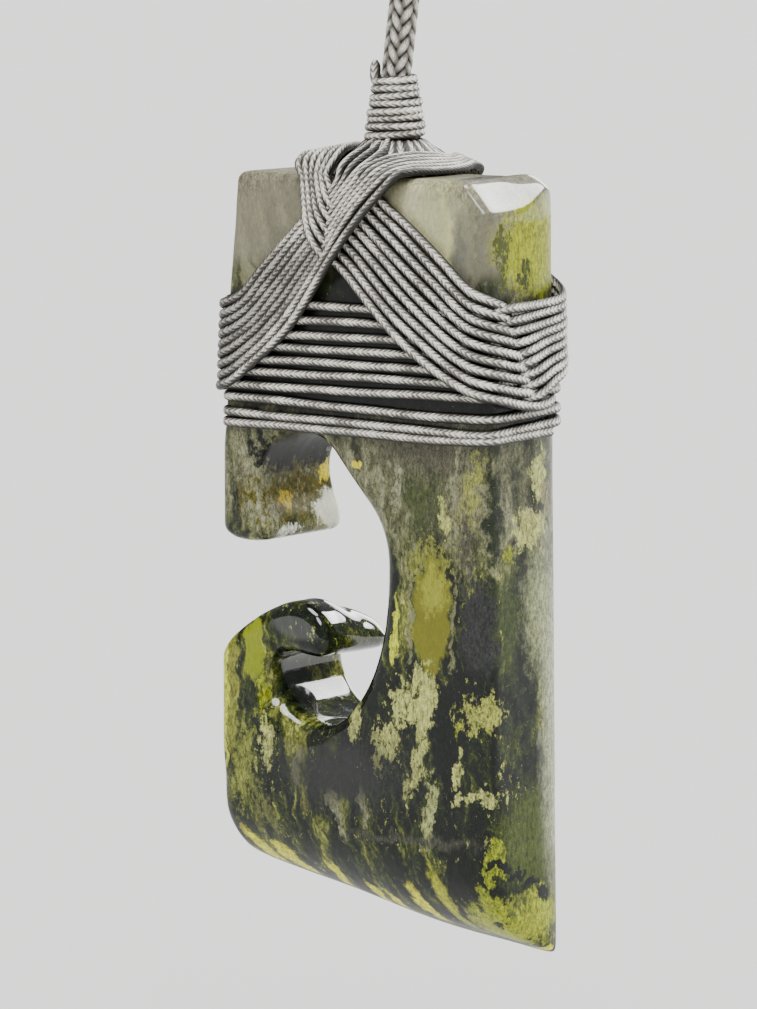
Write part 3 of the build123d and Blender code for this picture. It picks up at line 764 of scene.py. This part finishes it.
def braided_thread():
    """Braided waxed thread. The plies slant away from its crest to both sides, so that they make long
    arrowheads. The sides, where threads lie against each other, are darkened as painted shade, and the
    crest, a little above the crown, is paled as a painted highlight. The left bundle gets painted shade,
    below the loop that crosses it and above the line of its lowest strand."""
    paint = Finish("waxed_thread", IOR=1.45)
    along, around, tone = thread_map(paint)
    crest = 1 - abs(around.ping_pong(0.5) - CREST_AT) * 4.0
    ragged = paint.noise(paint.joined(along, around * 3, tone * 30), 1.6, 4.0)
    ply = (along / PLY_LENGTH + crest * 3.2 + ragged * 2.0).ping_pong(1.0)
    fibre = paint.noise(paint.joined(along * 1.6 + crest * 1.5, around * 18, tone * 30), 1.5, 5.0, 0.75)
    # Painted shade: the sides go dark, where threads lie against each other
    body = paint.between(crest + (fibre - 0.5) * 0.6, 0.22, 0.78) * (0.55 + ply * 0.55) * (0.60 + tone * 0.55)
    colour = paint.mix(body, WAX_SHADE, WAX_GREY)
    # Painted highlight on the crest, broken up by a slow noise along each thread
    worn = paint.noise(paint.joined(along * 0.30, tone * 40), 1.0, 3.0)
    pale = paint.between(crest * 0.62 + ply * 0.30 + fibre * 0.70 + (worn - 0.5) * 0.8, 0.82, 1.22)
    colour = paint.mix(pale, colour, WAX_HIGHLIGHT)
    # Painted shade over the left bundle
    across, _, height = paint.coordinates(paint.place())
    slope, *begins = LOWEST_LINE
    left_bundle = paint.between(height - across * slope, *begins) * paint.between(height, *LOOP_FOOT)
    colour = paint.shaded(colour, 1 - left_bundle * BUNDLE_SHADE)
    return fibrous(paint, colour, fibre, ply * 0.6 + fibre * 0.7)


thread_finish = braided_thread()
finished(threads("wrap_thread", wrap_lines()), "wrap_turns", thread_finish)

# The diagonal bundles. Nine strands each: one bundle rises from the left side to the top of the head,
# the other falls from the middle to the right side, tucked under the first, and where front and rear
# strands meet on the sides they dive under each other. The rear is the front turned half round.
BUNDLE_STRANDS = 9
FRONT, REAR = 1, -1
BEND_LIFT = 0.7
STRAND_WANDER = (0.05, 0.03)  # up and down, and off the stone
# Outlines: reach along the girth, height, lift off the stone, half width, half thickness
RIGHT_LOW = [
    (-2.6, 25.4, 0.38, 0.42, 0.35), (-1.3, 24.5, 0.45, 0.46, 0.35), (1.3, 22.4, 0.95, 0.47, 0.35),
    (4.7, 19.4, 1.10, 0.47, 0.35), (8.1, 17.0, 1.10, 0.47, 0.35), (12.4, 14.7, 1.10, 0.47, 0.35),
    (15.4, 13.7, 1.10, 0.46, 0.35), (18.6, 12.9, 1.12, 0.46, 0.35), (21.3, 12.65, 1.15, 0.46, 0.35),
    (22.3, 12.6, 0.80, 0.45, 0.34), (23.5, 12.7, 0.35, 0.40, 0.30),
]
RIGHT_HIGH = [
    (3.0, 32.4, 0.38, 0.42, 0.35), (4.2, 31.4, 0.42, 0.46, 0.35), (5.8, 30.3, 0.42, 0.47, 0.35),
    (8.1, 28.6, 0.42, 0.47, 0.35), (10.4, 26.8, 0.45, 0.47, 0.35), (12.8, 24.9, 0.70, 0.47, 0.35),
    (14.2, 24.1, 1.00, 0.46, 0.35), (15.3, 23.5, 1.10, 0.46, 0.35), (16.4, 22.9, 1.10, 0.46, 0.35),
    (17.3, 22.5, 0.80, 0.45, 0.34), (18.4, 22.0, 0.35, 0.40, 0.30),
]
# The front's lowest falling strand runs on over the side: its place in the bundle, the number of rows
# that it follows the bundle's outlines, and its last rows
LOWEST_SHARE, FOLLOWED = 0.055, 8
LOWEST_RUNS_ON = [
    (22.4, 13.0, 1.25, 0.46, 0.35), (24.0, 13.2, 1.00, 0.44, 0.34), (25.6, 13.5, 0.20, 0.36, 0.30),
]
LEFT_LOW = [
    (-22.4, 12.2, 0.50, 0.42, 0.33), (-21.3, 12.3, 0.95, 0.45, 0.35), (-17.9, 12.6, 1.10, 0.46, 0.35),
    (-14.8, 13.1, 1.10, 0.47, 0.35), (-10.6, 15.9, 1.10, 0.47, 0.35), (-7.0, 18.9, 1.12, 0.47, 0.35),
    (-3.5, 23.2, 1.30, 0.46, 0.38), (-1.8, 25.2, 1.70, 0.43, 0.40), (0.0, 27.4, 1.85, 0.40, 0.42),
    (2.6, 30.3, 1.80, 0.40, 0.42), (5.0, 32.8, 1.40, 0.41, 0.40),
]
LEFT_HIGH = [
    (-24.4, 20.9, 0.50, 0.42, 0.33), (-23.3, 21.0, 0.95, 0.45, 0.35), (-19.9, 21.2, 1.10, 0.46, 0.35),
    (-16.0, 21.4, 1.00, 0.46, 0.35), (-13.4, 22.1, 0.75, 0.47, 0.35), (-10.3, 25.3, 0.46, 0.47, 0.35),
    (-6.6, 28.8, 0.42, 0.46, 0.35), (-4.5, 30.5, 0.42, 0.43, 0.36), (-2.6, 31.9, 0.60, 0.38, 0.42),
    (-1.9, 32.4, 0.95, 0.36, 0.44), (-1.3, 33.2, 1.05, 0.38, 0.42),
]
REAR_LOW = [
    (-22.6, 13.3, 0.75, 0.42, 0.33), (-21.4, 13.5, 1.25, 0.45, 0.35), (-17.8, 14.9, 1.12, 0.46, 0.35),
    (-14.8, 15.9, 1.10, 0.47, 0.35), (-10.6, 17.6, 1.10, 0.47, 0.35), (-7.0, 19.9, 1.12, 0.47, 0.35),
    (-3.5, 23.4, 1.30, 0.46, 0.38),
] + LEFT_LOW[7:]
REAR_HIGH = [
    (-27.2, 22.5, 0.75, 0.42, 0.33), (-26.0, 22.6, 1.25, 0.45, 0.35), (-21.2, 22.6, 1.15, 0.46, 0.35),
    (-17.0, 23.0, 1.05, 0.46, 0.35), (-13.6, 24.1, 0.75, 0.47, 0.35), (-10.3, 26.2, 0.46, 0.47, 0.35),
    (-6.6, 29.3, 0.42, 0.46, 0.35), (-4.5, 30.8, 0.42, 0.43, 0.36),
] + LEFT_HIGH[8:]


def on_slab(reach, height, lift, facing):
    """Points and outward normals: reach runs across the flat face as x, then round a quarter circle
    at either end, then along the side. The rear is worked out in its own view and turned round."""
    left, right = np.interp(height, *LEFT_EDGE.T), np.interp(height, *RIGHT_EDGE.T)
    corner = FRONT_CORNER
    if facing == REAR:
        left, right, corner = -right, -left, BACK_CORNER
    bend = (corner + BEND_LIFT) * np.pi / 2
    hand = np.where(reach < 0, -1, 1)
    edge = np.where(reach < 0, -left, right) - corner
    over = np.abs(reach) - edge
    angle = np.clip(over / bend, 0, 1) * np.pi / 2
    side_run = np.clip(over - bend, 0, None)
    flat = np.where(over > 0, edge, np.abs(reach))
    normal = np.stack([hand * np.sin(angle), -np.cos(angle), np.zeros_like(angle)], 1)
    middle = np.stack([hand * flat, -HALF_THICK + corner + side_run, height], 1)
    place = middle + normal * (corner + lift)[:, None]
    return np.hstack([place, normal]) * np.array([facing, facing, 1, facing, facing, 1])


def part_way(one, other, share):
    """Rows that lie a share of the way from one table of rows to the other."""
    return np.array(one) + share * (np.array(other) - np.array(one))


def strand_rows(low, high, share, facing):
    """One strand of a bundle: a share of the way from its lower outline to its upper one, made smooth,
    given a slow wander, and laid on the slab."""
    rows = flowing(part_way(low, high, share), measured=2)
    run = np.arange(len(rows)) * THREAD_STEP
    rows[:, 1] += wobble(run, STRAND_WANDER[0])
    rows[:, 2] += wobble(run, STRAND_WANDER[1])
    return np.hstack([on_slab(rows[:, 0], rows[:, 1], rows[:, 2], facing), rows[:, 3:5]])


def bundle_lines(low, high, facing, count=BUNDLE_STRANDS):
    """All the strands of a bundle, from its lower outline up."""
    return [strand_rows(low, high, (k + 0.5) / count, facing) for k in range(count)]


# The loops over the head. On each face six strands come down over the top, cross the rising bundle and
# dive under it in a row of points; at the top both go over the slab's edge and up to the whipping.
LOOP_STRANDS = 6
LOOP_OUTER = [
    (-5.75, 33.2, 0.70, 0.40, 0.38), (-5.65, 32.0, 0.70, 0.42, 0.38), (-5.30, 30.3, 0.95, 0.42, 0.38),
    (-4.55, 28.4, 1.55, 0.44, 0.38), (-3.45, 26.8, 1.85, 0.44, 0.36), (-2.60, 25.8, 1.55, 0.44, 0.34),
    (-1.50, 24.9, 0.50, 0.40, 0.30),
]
LOOP_INNER = [
    (-2.25, 33.6, 0.95, 0.36, 0.40), (-2.15, 33.4, 0.95, 0.38, 0.40), (-2.00, 33.1, 0.95, 0.40, 0.38),
    (-1.80, 32.8, 0.95, 0.40, 0.36), (-1.55, 32.5, 0.90, 0.40, 0.34), (-1.25, 32.1, 0.80, 0.38, 0.32),
    (-0.70, 31.4, 0.40, 0.34, 0.30),
]
LOOP_IN_AT_REAR = (1.0, 0.95, 0.65, 0.30, 0.10, 0, 0)  # the rear's outermost strand starts further in
# Over the top: place and the way up, for the outermost and the innermost strand. The outer strands of a
# rising bundle cross the top beside the whipping and come down as the other face's loop. The inner
# three go in under the whipping. The strands that come down at the front lie on more of the others.
TO_REAR_OUTER = [
    (5.6, -6.8, 33.9, 0, -0.8, 0.6), (6.0, -5.3, 34.1, 0.2, -0.2, 0.9), (6.1, -2.5, 34.05, 0.5, 0, 0.9),
    (6.0, 0.5, 34.0, 0.5, 0, 0.9), (5.5, 3.5, 34.1, 0.4, 0, 0.9), (5.0, 5.4, 34.2, 0.2, 0.3, 0.9),
    (4.8, 6.70, 33.7, 0, 0.9, 0.4),
]
TO_REAR_INNER = [
    (1.9, -6.9, 34.2, 0, -0.8, 0.6), (3.0, -5.4, 35.0, 0.1, -0.4, 0.9), (3.9, -3.3, 35.35, 0.4, -0.3, 0.9),
    (4.3, -0.6, 35.3, 0.6, 0, 0.8), (4.1, 2.2, 35.0, 0.5, 0.1, 0.9), (3.3, 4.6, 35.0, 0.2, 0.3, 0.9),
    (2.4, 6.6, 34.5, 0, 0.8, 0.6),
]
TO_FRONT_OUTER = [
    (5.6, -6.8, 33.9, 0, -0.8, 0.6), (6.0, -5.3, 34.2, 0.2, -0.2, 0.9), (6.2, -2.5, 34.4, 0.5, 0, 0.9),
    (6.3, 0.5, 34.8, 0.5, 0, 0.9), (6.3, 3.1, 35.1, 0.3, 0, 1), (6.2, 5.4, 35.2, 0.2, 0.3, 0.9),
    (5.95, 6.75, 34.4, 0, 0.8, 0.5),
]
TO_FRONT_INNER = [
    (1.9, -6.9, 34.2, 0, -0.8, 0.6), (3.0, -5.4, 35.1, 0.1, -0.4, 0.9), (4.0, -3.0, 35.5, 0.3, -0.2, 0.9),
    (4.1, -0.5, 35.8, 0.4, 0, 0.9), (3.3, 2.2, 36.0, 0.2, 0.1, 1), (2.3, 4.6, 35.9, 0, 0.2, 1),
    (1.85, 6.5, 35.1, 0, 0.7, 0.7),
]
INTO_WHIPPING_OUTER = [
    (1.9, -6.9, 34.2, 0, -0.8, 0.6), (2.5, -5.5, 35.1, 0.1, -0.4, 0.9), (2.3, -3.9, 35.8, 0.1, -0.4, 0.9),
    (1.5, -2.4, 36.5, 0.2, -0.6, 0.8), (1.0, -1.5, 37.3, 0.5, -0.8, 0.3),
]
INTO_WHIPPING_INNER = [
    (-1.3, -6.9, 34.3, 0, -0.8, 0.6), (-1.3, -5.8, 35.1, 0, -0.4, 0.9), (-1.1, -4.2, 35.7, 0, -0.4, 0.9),
    (-0.8, -2.6, 36.4, 0, -0.6, 0.8), (-0.6, -1.7, 37.2, 0, -0.9, 0.3),
]
# The outermost rising strand stands apart from the others towards the top, row by row, in strands
STANDS_APART = (0, 0, 0, 0, 0, 0, 0, 0.2, 0.7, 1.0, 0.8)
EDGE_ROWS = 8  # so many rows of a strand on a face lead it over the slab's edge


def carried_over(start, rows, end=None):
    """A strand from the face that it rises on, over the slab's top by the rows given, and, where it
    has an end, down the other face. The last steps of each face shape the turn over the edge."""
    before = start[[-1 - EDGE_ROWS, -1]]
    after = start[:0] if end is None else end[[0, EDGE_ROWS]]
    half = np.linspace(start[-1, 6:8], (start if end is None else end[::-1])[-1, 6:8], len(rows))
    turned = flowing(np.vstack([before, np.hstack([rows, half]), after]))
    first = np.argmin(np.linalg.norm(turned[:, :3] - start[-1, :3], axis=1)) + 1
    if end is None:
        return np.vstack([start, turned[first:]])
    last = np.argmin(np.linalg.norm(turned[:, :3] - end[0, :3], axis=1))
    return np.vstack([start, turned[first:last], end])


def rising_lines(facing):
    """A face's rising bundle, its lower outline first. The gap beside the outermost strand takes its
    room from the others, which close up."""
    low, high = (LEFT_LOW, LEFT_HIGH) if facing == FRONT else (REAR_LOW, REAR_HIGH)
    gap = np.array(STANDS_APART) / BUNDLE_STRANDS
    shares = [(k + 0.5) / BUNDLE_STRANDS + (gap * (BUNDLE_STRANDS - k) / BUNDLE_STRANDS if k else 0 * gap)
              for k in range(BUNDLE_STRANDS)]
    return [strand_rows(low, high, share[:, None], facing) for share in shares]


def falling_lines(facing):
    """A face's falling bundle, its lower outline first. At the front the lowest strand runs on."""
    lines = bundle_lines(RIGHT_LOW, RIGHT_HIGH, facing)
    if facing == FRONT:
        low, high = (rows[:FOLLOWED] + LOWEST_RUNS_ON for rows in (RIGHT_LOW, RIGHT_HIGH))
        lines[0] = strand_rows(low, high, LOWEST_SHARE, facing)
    return lines


def lashed_lines(facing):
    """The rising strands of one face, carried over the top and down the other face's loop. The tables
    of the way over hold for the front and are turned half round for the rear."""
    outer, inner = (TO_REAR_OUTER, TO_REAR_INNER) if facing == FRONT else (TO_FRONT_OUTER, TO_FRONT_INNER)
    turn = np.array([facing, facing, 1, facing, facing, 1])
    rising = rising_lines(facing)
    loop_outer = np.array(LOOP_OUTER)
    if facing == FRONT:
        loop_outer[:, 0] += LOOP_IN_AT_REAR
    loops = bundle_lines(loop_outer, LOOP_INNER, -facing, LOOP_STRANDS)
    over = [carried_over(line, part_way(outer, inner, k / (LOOP_STRANDS - 1)) * turn, loops[k])
            for k, line in enumerate(rising[:LOOP_STRANDS])]
    left = BUNDLE_STRANDS - LOOP_STRANDS
    under = [carried_over(line, part_way(INTO_WHIPPING_OUTER, INTO_WHIPPING_INNER, (k + 0.5) / left) * turn)
             for k, line in enumerate(rising[LOOP_STRANDS:])]
    return over + under


for name, strands, facing, nodes in (
    ("front_rising_strands", lashed_lines, FRONT, ("front_left_bundle", "rear_loop")),
    ("rear_rising_strands", lashed_lines, REAR, ("rear_left_bundle", "front_loop")),
    ("front_falling_strands", falling_lines, FRONT, "front_right_bundle"),
    ("rear_falling_strands", falling_lines, REAR, "rear_right_bundle"),
):
    finished(threads(name, strands(facing)), nodes, thread_finish)

# The saddle's heart: the strands that lie crossed and pressed together on the slab's top, out of which
# the outer ones can be seen to sweep. It fills the mound up to the whipping's foot.
HEART_REACH = (5.7, 6.2)  # half its width and half its depth
HEART_RISE = 2.3
FOOT_RISE, FOOT_SHARE = 0.85, (0.72, 0.42)  # more in the middle, where the strands go into the whipping
RIDGES, RIDGE_HEIGHT, RIDGE_TWIST = 11, 0.12, 3
HEART_RINGS, HEART_SPOKES = 24, 96
LAST_RING = 0.02  # as a share of the reach
SKIRT_GAP = 0.02  # from the stone to the first ring
HEART_RUN = 6  # from its rim to its middle on the UV map
HEART_TONE = 0.4


def saddle_heart():
    """A low mound: at each ring the height is the rise times one less the ring's share to the power
    five, with a smooth step up in the middle, and ridges run over it towards the middle like strands."""
    share = np.linspace(1, LAST_RING, HEART_RINGS)[:, None]
    angle = -np.linspace(0, 2 * np.pi, HEART_SPOKES, endpoint=False)[None]
    ridge = RIDGE_HEIGHT * np.abs(np.sin(angle * RIDGES + share * RIDGE_TWIST)) * np.sqrt(share)
    x = HEART_REACH[0] * share * np.cos(angle)
    y = HEART_REACH[1] * share * np.sin(angle)
    z = SLAB_TOP + HEART_RISE * (1 - share**5) + FOOT_RISE * smoothstep(share, *FOOT_SHARE) + ridge
    skirt = np.stack([x[0], y[0], np.full(HEART_SPOKES, SLAB_TOP + SKIRT_GAP)], -1)[None]
    grid = np.concatenate([skirt, np.stack([x, y, z], -1)])
    along, around = np.linspace(0, HEART_RUN, HEART_RINGS + 1), np.linspace(0, RIDGES, HEART_SPOKES + 1)
    return tubes("saddle_heart", [(grid, along, around, HEART_TONE)])


finished(saddle_heart(), "top_saddle", thread_finish)

# The whipping: the lashing thread wound tightly eight times round the gathered strands, with its cut
# end standing up at the top left.
WHIPPING_ROWS = np.array([  # turn, height, radius of the thread's middle line
    (-0.40, 36.75, 2.2), (-0.1, 36.85, 2.50), (0.0, 36.9, 2.52), (1.0, 37.65, 2.46), (2.0, 38.4, 2.34),
    (3.0, 39.05, 2.26), (4.0, 39.75, 2.16), (5.0, 40.4, 2.06), (6.0, 41.15, 1.88), (7.0, 41.8, 1.86),
    (7.5, 42.1, 1.72), (7.9, 42.2, 1.62),
])
WHIPPING_SHIFT = 0.05
WHIPPING_HALF = (0.42, 0.38)
WHIPPING_STEP, WHIPPING_RUN = 0.012, 0.2  # turns and, about as much, millimetres from row to row
WHIPPING_WANDER = (0.06, 0.07)  # up and down, and in and out
LEFT_OF_VIEW = math.radians(200)  # the turns are counted from here
CORD_SIDES = 12
# The cut end's rows: place, way up, half width, half thickness
CUT_END = [
    (-0.95, -1.45, 41.6, 0.3, -0.9, 0, 0.50, 0.46), (-1.12, -1.50, 42.4, 0.3, -0.9, 0, 0.52, 0.48),
    (-1.16, -1.45, 43.2, 0.3, -0.9, 0, 0.50, 0.45), (-1.16, -1.40, 43.9, 0.3, -0.9, 0, 0.42, 0.40),
]
WHIPPING_CORE = [(36.0, 2.1, 2.1), (38.0, 2.1, 2.1), (40.0, 1.8, 1.8), (42.1, 1.45, 1.45)]


def core_line(x, rows):
    """A plain upright core. Its rows are a height and half its width and depth there."""
    return flowing([(x, 0, height, 0, -1, 0, wide, deep) for height, wide, deep in rows])


def whipping_lines():
    """The thread wound round the upright, its cut end and a plain core that the winding lies on. The
    turn gives the winding's angle, and its height and radius follow the turn."""
    turns = np.arange(WHIPPING_ROWS[0, 0], WHIPPING_ROWS[-1, 0], WHIPPING_STEP)
    height, radius = (np.interp(turns, WHIPPING_ROWS[:, 0], WHIPPING_ROWS[:, k]) for k in (1, 2))
    run = np.arange(len(turns)) * WHIPPING_RUN
    height += wobble(run, WHIPPING_WANDER[0])
    radius += wobble(run, WHIPPING_WANDER[1])
    angle = LEFT_OF_VIEW + 2 * np.pi * turns
    out = np.stack([np.cos(angle), np.sin(angle), np.zeros_like(angle)], 1)
    place = out * radius[:, None] + np.stack([np.full_like(turns, WHIPPING_SHIFT), 0 * turns, height], 1)
    winding = np.hstack([place, out, np.tile(WHIPPING_HALF, (len(turns), 1))])
    return [winding, flowing(CUT_END), core_line(WHIPPING_SHIFT, WHIPPING_CORE)]


finished(threads("whipping_cord", whipping_lines(), CORD_SIDES), "whipping", thread_finish)

# The plaited stem and the neck loop. The stem is plaited round with sixteen strands, eight going each
# way, over two and under two. Above its binding the loop is a thinner plait of eight, 64 cm long.
PLAIT_DEPTH = 0.22  # how deep the plait is carved, as a share of its radius
OVER_UNDER = 0.5
STEM_FOOT, STEM_OVERLAP = (-0.05, 0, 41.2), 0.6
# The lay is how far along the cord one strand follows the other, and the ways are the strands each way
STEM = {"radius": 1.45, "lay": 1.5, "ways": 8, "columns": 144}
LOOP = {"radius": 1.1, "lay": 1.7, "ways": 4, "columns": 28}
STEM_STEP, LOOP_STEP = 0.08, 0.28
binding_box = node_box("leg_binding") - HANG
BINDING_LOW, BINDING_HIGH = binding_box[:, 2]
BINDING_X = binding_box[:, 0].mean()
# The right half of the loop's route, upwards: x from the loop's middle, height over the binding
HALF_ROUTE = [
    (1.5, 0.25), (5.5, 21.0), (16.5, 60.0), (31.0, 104.0), (45.5, 147.0), (55.5, 188.0), (57.5, 227.0),
    (44.5, 262.0), (16.0, 281.0),
]
ROUTE_FINENESS = 24


def plaited(name, line, radius, lay, ways, columns):
    """A round plait along a line. Its surface is the higher of two families of strands that wind
    opposite ways. Across a strand the height is a half circle, and along it a sine carries it over
    two strands of the other family and under the next two. The height goes into the tone, from which
    the finish paints shade between the strands and highlights on their crowns."""
    run = distance_run(line)
    share = np.arange(columns) / columns
    one, other = ways * share + run[:, None] / lay, ways * share - run[:, None] / lay

    def family(own, cross, sign):
        """Height of one family: the half circle across a strand plus its way over and under."""
        off = 2 * (own - np.floor(own)) - 1
        return np.sqrt(1 - 0.96 * off**2) + sign * OVER_UNDER * np.sin(np.pi / 2 * (cross + np.floor(own)))

    height = (np.maximum(family(one, other, 1), family(other, one, -1)) - 0.5) / (0.5 + OVER_UNDER)
    reach = radius * (1 - PLAIT_DEPTH + PLAIT_DEPTH * height)
    grid = rings_round(line, np.array([0, -1, 0]), reach, reach, columns)
    return tubes(name, [(grid, run, np.linspace(0, 1, columns + 1), height)])


def straight(start, end, step):
    """Evenly spaced points from one place to another."""
    start, end = np.array(start, float), np.array(end, float)
    count = int(np.linalg.norm(end - start) / step) + 1
    return start + np.linspace(0, 1, count)[:, None] * (end - start)


def loop_route():
    """The route's points as a smooth line: a spline that is drawn towards each point, read evenly."""
    points = [(BINDING_X + x, 0, BINDING_HIGH + h) for x, h in HALF_ROUTE]
    points += [(BINDING_X - x, 0, BINDING_HIGH + h) for x, h in reversed(HALF_ROUTE)]
    curve = bpy.data.curves.new("route", "CURVE")
    curve.dimensions = "3D"
    curve.resolution_u = ROUTE_FINENESS
    spline = curve.splines.new("NURBS")
    spline.points.add(len(points) - 1)
    spline.points.foreach_set("co", np.hstack([points, np.ones((len(points), 1))]).ravel())
    spline.order_u = 3
    spline.use_endpoint_u = True
    rows = points_of(settled(placed("route", curve)))
    run = distance_run(rows)
    at = np.arange(0, run[-1], LOOP_STEP)
    return np.stack([np.interp(at, run, rows[:, k]) for k in range(3)], 1)


def plait_finish():
    """The plait's strands have painted highlights on their crowns and painted shade between, with fine
    fibres.
    """
    paint = Finish("plaited_cord", IOR=1.45)
    along, around, relief = thread_map(paint)
    fibre = paint.noise(paint.joined(along * 1.5, around * 40), 1.6, 5.0, 0.75)
    # Painted shade between the strands, and painted highlights on their crowns
    colour = paint.mix(paint.between(relief + (fibre - 0.5) * 0.3, 0.16, 0.62), WAX_SHADE, WAX_GREY)
    colour = paint.mix(paint.between(relief * 0.6 + fibre * 0.9, 0.78, 1.16), colour, WAX_HIGHLIGHT)
    return fibrous(paint, colour, fibre, fibre)


plait_stuff = plait_finish()
stem_top = (BINDING_X, 0, BINDING_LOW + STEM_OVERLAP)
stem = plaited("stem_plait", straight(STEM_FOOT, stem_top, STEM_STEP), **STEM)
finished(stem, "cord_stem", plait_stuff)
neck_loop = plaited("neck_plait", loop_route(), **LOOP)
finished(neck_loop, "neck_cord", plait_stuff)

# The binding where the stem divides into the loop's two legs: the same thread in between six and seven
# close turns, wider at the top.
BINDING_TURNS, BINDING_ROWS = 6.4, 420
BINDING_HALF = (0.56, 0.45)
BINDING_END = 0.55  # from the binding's end to the thread's middle line
HALF_WIDE, HALF_DEEP = (1.75, 1.3), (1.74, 0.02)  # at the foot, and how much more at the top
BINDING_CORE = [
    (BINDING_LOW + 0.1, 1.6, 1.6), (BINDING_HIGH - 0.5, 2.8, 1.6), (BINDING_HIGH + 0.35, 2.3, 1.2),
    (BINDING_HIGH + 0.6, 1.4, 0.6),
]


def binding_lines():
    """The turns lie on an ellipse that widens upwards, over a plain core of the same form."""
    share = np.linspace(0, 1, BINDING_ROWS)
    angle = 2 * np.pi * BINDING_TURNS * share
    half_wide, half_deep = (foot + more * share for foot, more in (HALF_WIDE, HALF_DEEP))
    rise = BINDING_LOW + BINDING_END + (BINDING_HIGH - BINDING_LOW - 2 * BINDING_END) * share
    place = np.stack([BINDING_X + half_wide * np.cos(angle), half_deep * np.sin(angle), rise], 1)
    out = unit(np.stack([np.cos(angle) / half_wide, np.sin(angle) / half_deep, np.zeros_like(angle)], 1))
    winding = np.hstack([place, out, np.tile(BINDING_HALF, (len(share), 1))])
    return [winding, core_line(BINDING_X, BINDING_CORE)]


finished(threads("binding_cord", binding_lines(), CORD_SIDES), "leg_binding", thread_finish)

# The camera looks at the right front corner from a little above, through a long lens.
CAMERA_AT = (276.67, -356.60, 62.13)
CAMERA_TURN, CAMERA_DROP = math.radians(38.0), math.radians(7.5)
FOCAL_PIXELS, FRAME_HEIGHT = 4900.0, 1009  # the lens and the picture, both in pixels of the picture
SENSOR = 36.0
NEAREST_SEEN = 0.02
camera = placed("camera", bpy.data.cameras.new("camera"))
camera.data.sensor_width = SENSOR
camera.data.lens = FOCAL_PIXELS / FRAME_HEIGHT * SENSOR
camera.data.clip_start = NEAREST_SEEN
camera.location = to_scene(CAMERA_AT)
camera.rotation_euler = (math.pi / 2 - CAMERA_DROP, 0, CAMERA_TURN)
bpy.context.scene.camera = camera

# The studio: a pale floor well below the pendant, dim even light from all sides, and four wide and far
# lamps, whose breadth makes the shadows soft and gives the polished stone its glints.
FLOOR_HEIGHT, FLOOR_REACH = -75.0, 20000.0
FLOOR_TONES = ((0.60, 0.60, 0.59), (0.63, 0.63, 0.62))
LAMPS = [  # name, the direction that it shines from, breadth in degrees, strength
    ("light_front_right", (0.45, -0.60, 0.66), 24, 1.9),
    ("light_overhead", (0.07, -0.26, 0.95), 32, 3.7),
    ("light_above_behind", (0.33, 0.70, 0.62), 34, 4.4),
    ("light_behind", (-0.25, 0.93, 0.28), 30, 1.3),
]
SKY_COLOUR, SKY_STRENGTH = (0.62, 0.63, 0.65, 1), 0.30
floor_mesh = bpy.data.meshes.new("floor")
floor_corners = FLOOR_REACH * np.array([(-1, -1, 0), (1, -1, 0), (1, 1, 0), (-1, 1, 0)])
floor_corners[:, 2] = FLOOR_HEIGHT
floor_mesh.from_pydata(to_scene(floor_corners).tolist(), [], [(0, 1, 2, 3)])
floor = placed("floor", floor_mesh)
floor_paint = Finish("floor", Specular_IOR_Level=0.0)
floor_colour = floor_paint.mix(floor_paint.noise(floor_paint.place(), 0.02, 2.0), *FLOOR_TONES)
floor_mesh.materials.append(floor_paint.finish(Base_Color=floor_colour))

for name, (x, y, z), breadth, strength in LAMPS:
    lamp = placed(name, bpy.data.lights.new(name, "SUN"))
    lamp.data.energy = strength
    lamp.data.angle = math.radians(breadth)
    lamp.rotation_euler = (math.atan2(math.hypot(x, y), z), 0, math.atan2(x, -y))

world = bpy.data.worlds.new("studio")
bpy.context.scene.world = world
world.use_nodes = True
sky = world.node_tree.nodes["Background"]
sky.inputs["Color"].default_value = SKY_COLOUR
sky.inputs["Strength"].default_value = SKY_STRENGTH
